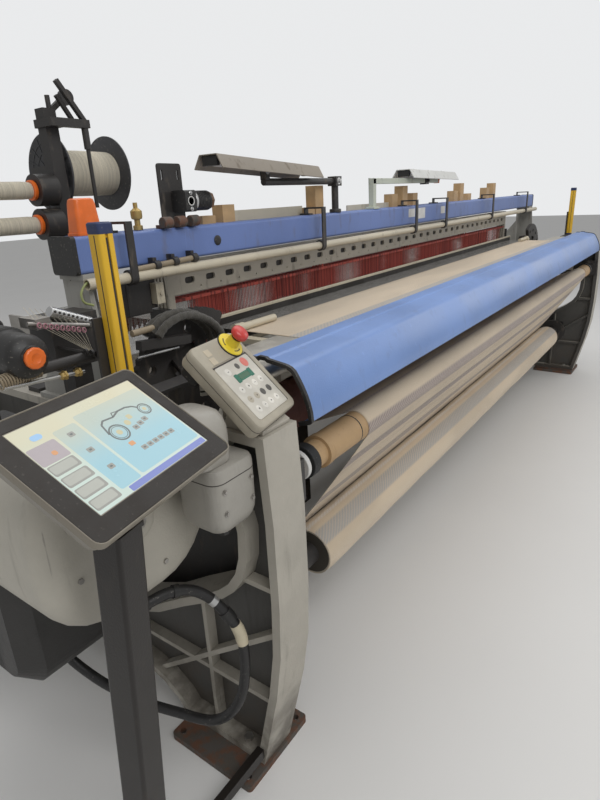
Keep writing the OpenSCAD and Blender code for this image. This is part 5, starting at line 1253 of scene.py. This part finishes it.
# Selvedge motor on its plate
def selvedge_motor():
    plate = Shape()
    upright = stand(0.395, 0.634, 1.5235) @ rotated(90, "X")
    slotted(plate, rounded(0.09, 0.174, 0.008), [rounded(0.006, 0.03, 0.003, -0.03, 0.055, 4),
        rounded(0.006, 0.03, 0.003, 0.03, 0.055, 4)], 0.0, 0.006, upright)
    plate.block(0.35, 0.44, 0.588, 0.634, 1.4362, 1.444)
    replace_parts(plate.make("motor_plate", "black_steel", slot="black_plastic"), "selvedge_motor")
    drive = Shape().along(rounded(0.058, 0.06, 0.008, 0.598, 1.506), 0.39, 0.4336)
    axle = crosswise(0.4336, 0.596, 1.506)
    body = [(0.0245, 0.008)]
    for k in range(9):
        body += [(0.0285, 0.01 + 0.006 * k), (0.0285, 0.014 + 0.006 * k), (0.0272, 0.0142 + 0.006 * k),
            (0.0272, 0.0158 + 0.006 * k)]
    drive.lathe([*body, (0.0285, 0.066), (0.024, 0.068)], axle, 40)
    drive.make("motor_body", "black_plastic")
    flange = Shape().lathe(mm([(29.2, 0), (30, 1), (30, 7), (29.2, 8)]), axle, 40)
    for z in (1.528, 1.484):
        flange.bolt(front(0.412, 0.569, z), 0.004, 0.004)
    flange.make("motor_flange", "shaft_chrome", slot="black_plastic")
    ring = Shape().lathe(mm([(13, 0), (13, 1.2), (10.5, 1.2), (10.5, 0)]), front(0.412, 0.569, 1.506), 32)
    ring.make("motor_ring", "plate_white", slot="black_plastic")
    end = Shape().lathe(mm([(23.5, 68), (25.5, 70), (25.5, 80), (21.5, 84)]), axle, 8)
    end.make("motor_end", "end_brown", slot="black_plastic", smooth=20)
    clamps = Shape()
    for u in (0.3, 0.352, 0.404):
        clamps.shaft(u - 0.016, u + 0.016, 0.56, 1.452, 0.0155, 20)
        clamps.block(u - 0.006, u + 0.006, 0.556, 0.6, 1.4362, 1.446)
    clamps.make("beam_clamps", "floor_iron", bevel=0.0008)


# Small things on the top beam
def beam_fittings():
    rails = Shape().along(mm([(637, 1436.2), (643, 1436.2), (643, 1466), (641, 1470), (637, 1470)]), 0.653, 1.069)
    rails.along(mm([(637, 1436.2), (643, 1436.2), (643, 1455), (641, 1459), (637, 1459)]), 1.412, 1.811)
    rails.make("beam_rails", "rail_cream")
    plug = Shape().lathe(mm([(15, -2), (15, 2), (12.5, 4), (6, 4.5), (0, 4.5)]), front(0.505, 0.568, 1.388), 32)
    plug.make("beam_plug", "black_plastic")
    plates = Shape()
    for u, z, w, h in mm(((1930, 1402, 75, 40), (2050, 1396, 90, 52), (2340, 1400, 60, 38))):
        plates.plate(rounded(w, h, 0.003), 0.0, 0.0008, stand(u, 0.5682, z) @ rotated(90, "X"))
    plates.make("beam_plates", "plate_white", slot="foil")
    lamp = Shape().rings([[at(0.074 + x, 0.61 + y, z) for x, y in rounded(w, d, r)]
        for w, d, r, z in mm(((74, 54, 8, 1436.3), (74, 54, 8, 1442), (70, 50, 9, 1443), (65.5, 47.5, 9, 1470),
        (60, 43.5, 10, 1510), (56, 40, 11, 1521), (46, 31, 10, 1524)))])
    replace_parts(lamp.make("signal_lamp_glass", "orange_plastic"), "signal_lamp")


# Weft feeder: a ribbed drum on a rounded body, with an orange knob
def weft_feeder():
    place = stand(-0.27, 0, 1.235) @ rotated(90, "X")
    body = shell("feeder_body", [(w, w + 0.036, r, -v, 0.0, 0.0)
        for w, r, v in mm(((70, 12, 620), (79, 15, 615), (80, 16, 605), (80, 16, 515), (77, 15, 506),
        (68, 12, 501)))], "black_plastic", "frame", place)
    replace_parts(body, "weft_feeder")
    drum = Shape()
    ribs = [(0.04, -0.51)]
    for k in range(6):
        v = 0.502 - 0.013 * k
        ribs += [(0.0515, -v), (0.052, -v + 0.001), (0.052, -v + 0.008), (0.05, -v + 0.009), (0.05, -v + 0.012)]
    ribs += mm([(47, -424), (44.5, -418), (44, -400), (44, -366), (42, -358), (34, -350), (24, -345), (22.5, -340)])
    drum.lathe(ribs, place, 48)
    drum.block(-0.282, -0.258, 0.56, 0.59, 0.9963, 1.182)
    drum.block(-0.296, -0.244, 0.552, 0.598, 1.15, 1.18)
    drum.make("feeder_drum", "black_plastic", bevel=0.0006)
    knob = Shape().lathe(mm([(17, -341.5), (20.5, -340.5), (21.5, -338), (21.5, -332.5), (19, -330.5), (10, -330),
        (8.5, -331)]), place, 12)
    knob.make("feeder_knob", "orange_plastic", slot="black_plastic", bevel=0.0008)


def spring(low, high, radius, wire, turns):
    """A coil spring between two points."""
    low, high = Vector(low), Vector(high)
    place = facing(low, high - low)
    far, count = (high - low).length, turns * 14
    return Shape().tube([place @ Vector((radius * math.cos(2 * math.pi * k / 14),
        radius * math.sin(2 * math.pi * k / 14), far * k / count)) for k in range(count + 1)], wire, 8)


def rod(shape, radius, sides, *points):
    return shape.tube([at(*p) for p in points], radius, sides)


# Weft group at the left end: hoses over the rapier guard, rods, spring, and thread guides
def guard_hoses():
    guard = mm([(97, 440, 1194), (126, 440, 1216), (174, 440, 1229), (221, 440, 1225), (276, 440, 1202),
        (316, 440, 1166), (334, 440, 1126)])
    for n, shift in enumerate((-0.026, 0.0, 0.026)):
        line = curve_points([at(u, v + shift, z - abs(shift) * 0.25) for u, v, z in guard], 6)
        wave = [0.0105 + 0.0009 * math.sin(k * 2.1) for k in range(len(line))]
        Shape().tube(line, wave, 12).make("guard_hose_" + str(n + 1), "hose_braid", slot="black_plastic")


def weft_rods():
    rods = rod(Shape(), 0.0085, 20, (0.038, 0.44, 1.205), (0.118, 0.44, 1.206))
    rod(rods, 0.0075, 20, (0.15, 0.54, 1.342), (0.383, 0.54, 1.351))
    rods.make("tan_rods", "rod_tan", slot="rail_cream")
    holders = Shape()
    for u, v, z in mm([(229, 540, 1345), (296, 540, 1348), (371, 540, 1350)]):
        holders.lathe(mm([(9.5, -10), (12.5, -8), (12.5, 8), (9.5, 10)]), facing(at(u, v, z), (1, 0, 0.05)), 16)
        holders.block(u - 0.006, u + 0.006, v + 0.006, 0.567, z - 0.006, z + 0.02)
    holders.make("rod_holders", "black_steel")
    bars = rod(Shape(), 0.016, 4, (0.045, 0.43, 1.174), (0.211, 0.43, 1.156))
    rod(bars, 0.0115, 20, (-0.249, 0.38, 1.199), (-0.12, 0.38, 1.198))
    bars.make("dark_rods", "black_steel")
    bright = rod(Shape(), 0.0032, 12, (0.035, 0.424, 1.147), (0.168, 0.424, 1.142))
    rod(bright, 0.0042, 14, (-0.324, 0.372, 1.184), (-0.23, 0.372, 1.177), (-0.15, 0.372, 1.171))
    bright.make("bright_rods", "shaft_chrome")
    fittings = Shape()
    for p in [(-0.198, 0.372, 1.175), (-0.165, 0.372, 1.173)]:
        fittings.lathe(mm([(6, -9), (8.5, -7), (8.5, -1), (10.5, 0), (10.5, 5), (6, 7)]),
            facing(at(*p), (1, 0.1, 0.1)), 6)
    fittings.make("rod_fittings", "brass", slot="bare_steel")
    coil = spring(at(-0.328, 0.38, 1.194), at(-0.243, 0.38, 1.199), 0.0135, 0.0021, 15)
    coil.make("feeder_spring", "rod_tan", slot="bare_steel")


def thread_guides():
    low, high = at(-0.147, 0.47, 1.291), at(-0.051, 0.47, 1.249)
    way = high - low
    profile = [(0.0125, 0), (0.0135, 0.001), (0.0135, way.length - 0.001), (0.0125, way.length)]
    Shape().lathe(profile, facing(low, way), 28).make("thread_tube", "shaft_chrome")
    # Small raised black discs stand for the tube's holes: painted shade in place of openings.
    holes = Shape()
    side = Vector((-way.y, way.x, 0)).normalized() * -1
    for k in range(9):
        spot = low + way * (0.08 + 0.105 * k) + side * 0.0128 + Vector((0, 0, 0.004))
        holes.lathe(mm([(3, 0), (3, 1.2), (1.2, 1.3)]), facing(spot, side), 12)
    holes.make("thread_tube_hole_shades", "tape_black")
    eyes, strings = Shape(), Shape()
    a, b, end = at(-0.196, 0.43, 1.275), at(-0.095, 0.43, 1.244), at(-0.082, 0.43, 1.187)
    around, along = [[2 * math.pi * k / count for k in range(count + 1)] for count in (8, 20)]
    eye = [[((0.0052 + 0.0016 * math.cos(c)) * math.cos(t), (0.0052 + 0.0016 * math.cos(c)) * math.sin(t),
        0.0016 * math.sin(c)) for c in around[:8]] for t in along]
    for k in range(9):
        spot = a.lerp(b, k / 8)
        eyes.rings(eye, False, facing(spot, (0.3, -0.9, 0.1)))
        strings.tube([spot + Vector((0, 0.05, 0.035)), spot, end], 0.0005, 5)
    eyes.make("thread_eyes", "ceramic_pink", slot="reed_steel")
    strings.make("weft_threads", "yarn")
    bar = Shape().tube([a + Vector((-0.02, 0.01, 0.006)), b + Vector((0.02, 0.01, 0.006))], 0.005, 14)
    bar.block(-0.2, -0.166, 0.436, 0.5, 1.265, 1.287)
    bar.make("thread_eye_bar", "bare_steel")


# Cable loop at the guard rail, the boxes beside the healds, and the valve on the beam
def beam_end():
    loop = curve_points([at(*p) for p in mm([(33, 545, 1325), (9, 545, 1328), (-11, 545, 1307), (-8, 545, 1284),
        (17, 545, 1272)])], 6)
    Shape().tube(loop, 0.003, 12).make("rail_cable_loop", "cable_green", slot="rail_cream")
    block = Shape().block(0.154, 0.236, 0.59, 0.64, 1.21, 1.309)
    block.block(0.24, 0.266, 0.6, 0.65, 1.22, 1.313)
    block.make("heald_side_box", "black_steel", bevel=0.003)
    posts = Shape().block(0.245, 0.274, 0.575, 0.6, 1.233, 1.292)
    posts.bolt(front(0.2595, 0.575, 1.2625), 0.006, 0.005)
    posts.make("heald_side_post", "rail_cream", bevel=0.002)
    valve = Shape().lathe(mm([(11, 0), (13, 1), (13, 12), (8, 14), (8, 28), (14, 30), (15.5, 36), (15.5, 50),
        (10, 55), (6, 58), (6, 72)]), stand(0.237, 0.606, 1.4362), 16)
    valve.make("beam_valve", "brass", slot="bare_steel")


for build in (breast_cover, guard_sheet, guide_rings, cloth_panel, side_box, gear_cover, light_curtains, weft_spool,
        lamps, selvedge_motor, beam_fittings, weft_feeder, guard_hoses, weft_rods, thread_guides, beam_end):
    build()


# Floor, backdrop and lights
pale = Finish("floor_paint", (0.8, 0.79, 0.77), 0.6)
pale.set(Base_Color=pale.mix(pale.noise(0.8, 4), (0.77, 0.76, 0.74), (0.82, 0.81, 0.79)))
floor_mesh = bpy.data.meshes.new("floor")
floor_mesh.from_pydata([(-30, -30, 0), (30, -30, 0), (30, 30, 0), (-30, 30, 0)], [], [(0, 1, 2, 3)])
floor_mesh.materials.append(pale.material)
floor = bpy.data.objects.new("floor", floor_mesh)
bpy.context.collection.objects.link(floor)

world = bpy.data.worlds.new("studio")
bpy.context.scene.world = world
world.use_nodes = True
world.node_tree.nodes["Background"].inputs["Color"].default_value = (0.93, 0.94, 0.95, 1)
rays = world.node_tree.nodes.new("ShaderNodeLightPath")
strength = world.node_tree.nodes.new("ShaderNodeMapRange")
strength.inputs["To Min"].default_value = 0.42
strength.inputs["To Max"].default_value = 0.88
world.node_tree.links.new(rays.outputs["Is Camera Ray"], strength.inputs["Value"])
world.node_tree.links.new(strength.outputs["Result"], world.node_tree.nodes["Background"].inputs["Strength"])


def lamp_panel(name, place, target, size, power):
    data = bpy.data.lights.new(name, "AREA")
    data.shape = "RECTANGLE"
    data.size, data.size_y = size
    data.energy = power
    panel = bpy.data.objects.new(name, data)
    panel.location = place
    panel.rotation_euler = (Vector(target) - Vector(place)).to_track_quat("-Z", "Y").to_euler()
    bpy.context.collection.objects.link(panel)


lamp_panel("key_panel", (-2.5, -3.5, 4.2), (0, 0, 0.8), (3.5, 2.5), 90)
lamp_panel("top_panel", (0.5, 0.5, 4.6), (0, 0, 0.9), (6.0, 3.0), 84)
lamp_panel("fill_panel", (5.0, -3.0, 3.0), (0, 0, 0.8), (3.0, 3.0), 42)
bpy.context.scene.view_settings.view_transform = "Standard"
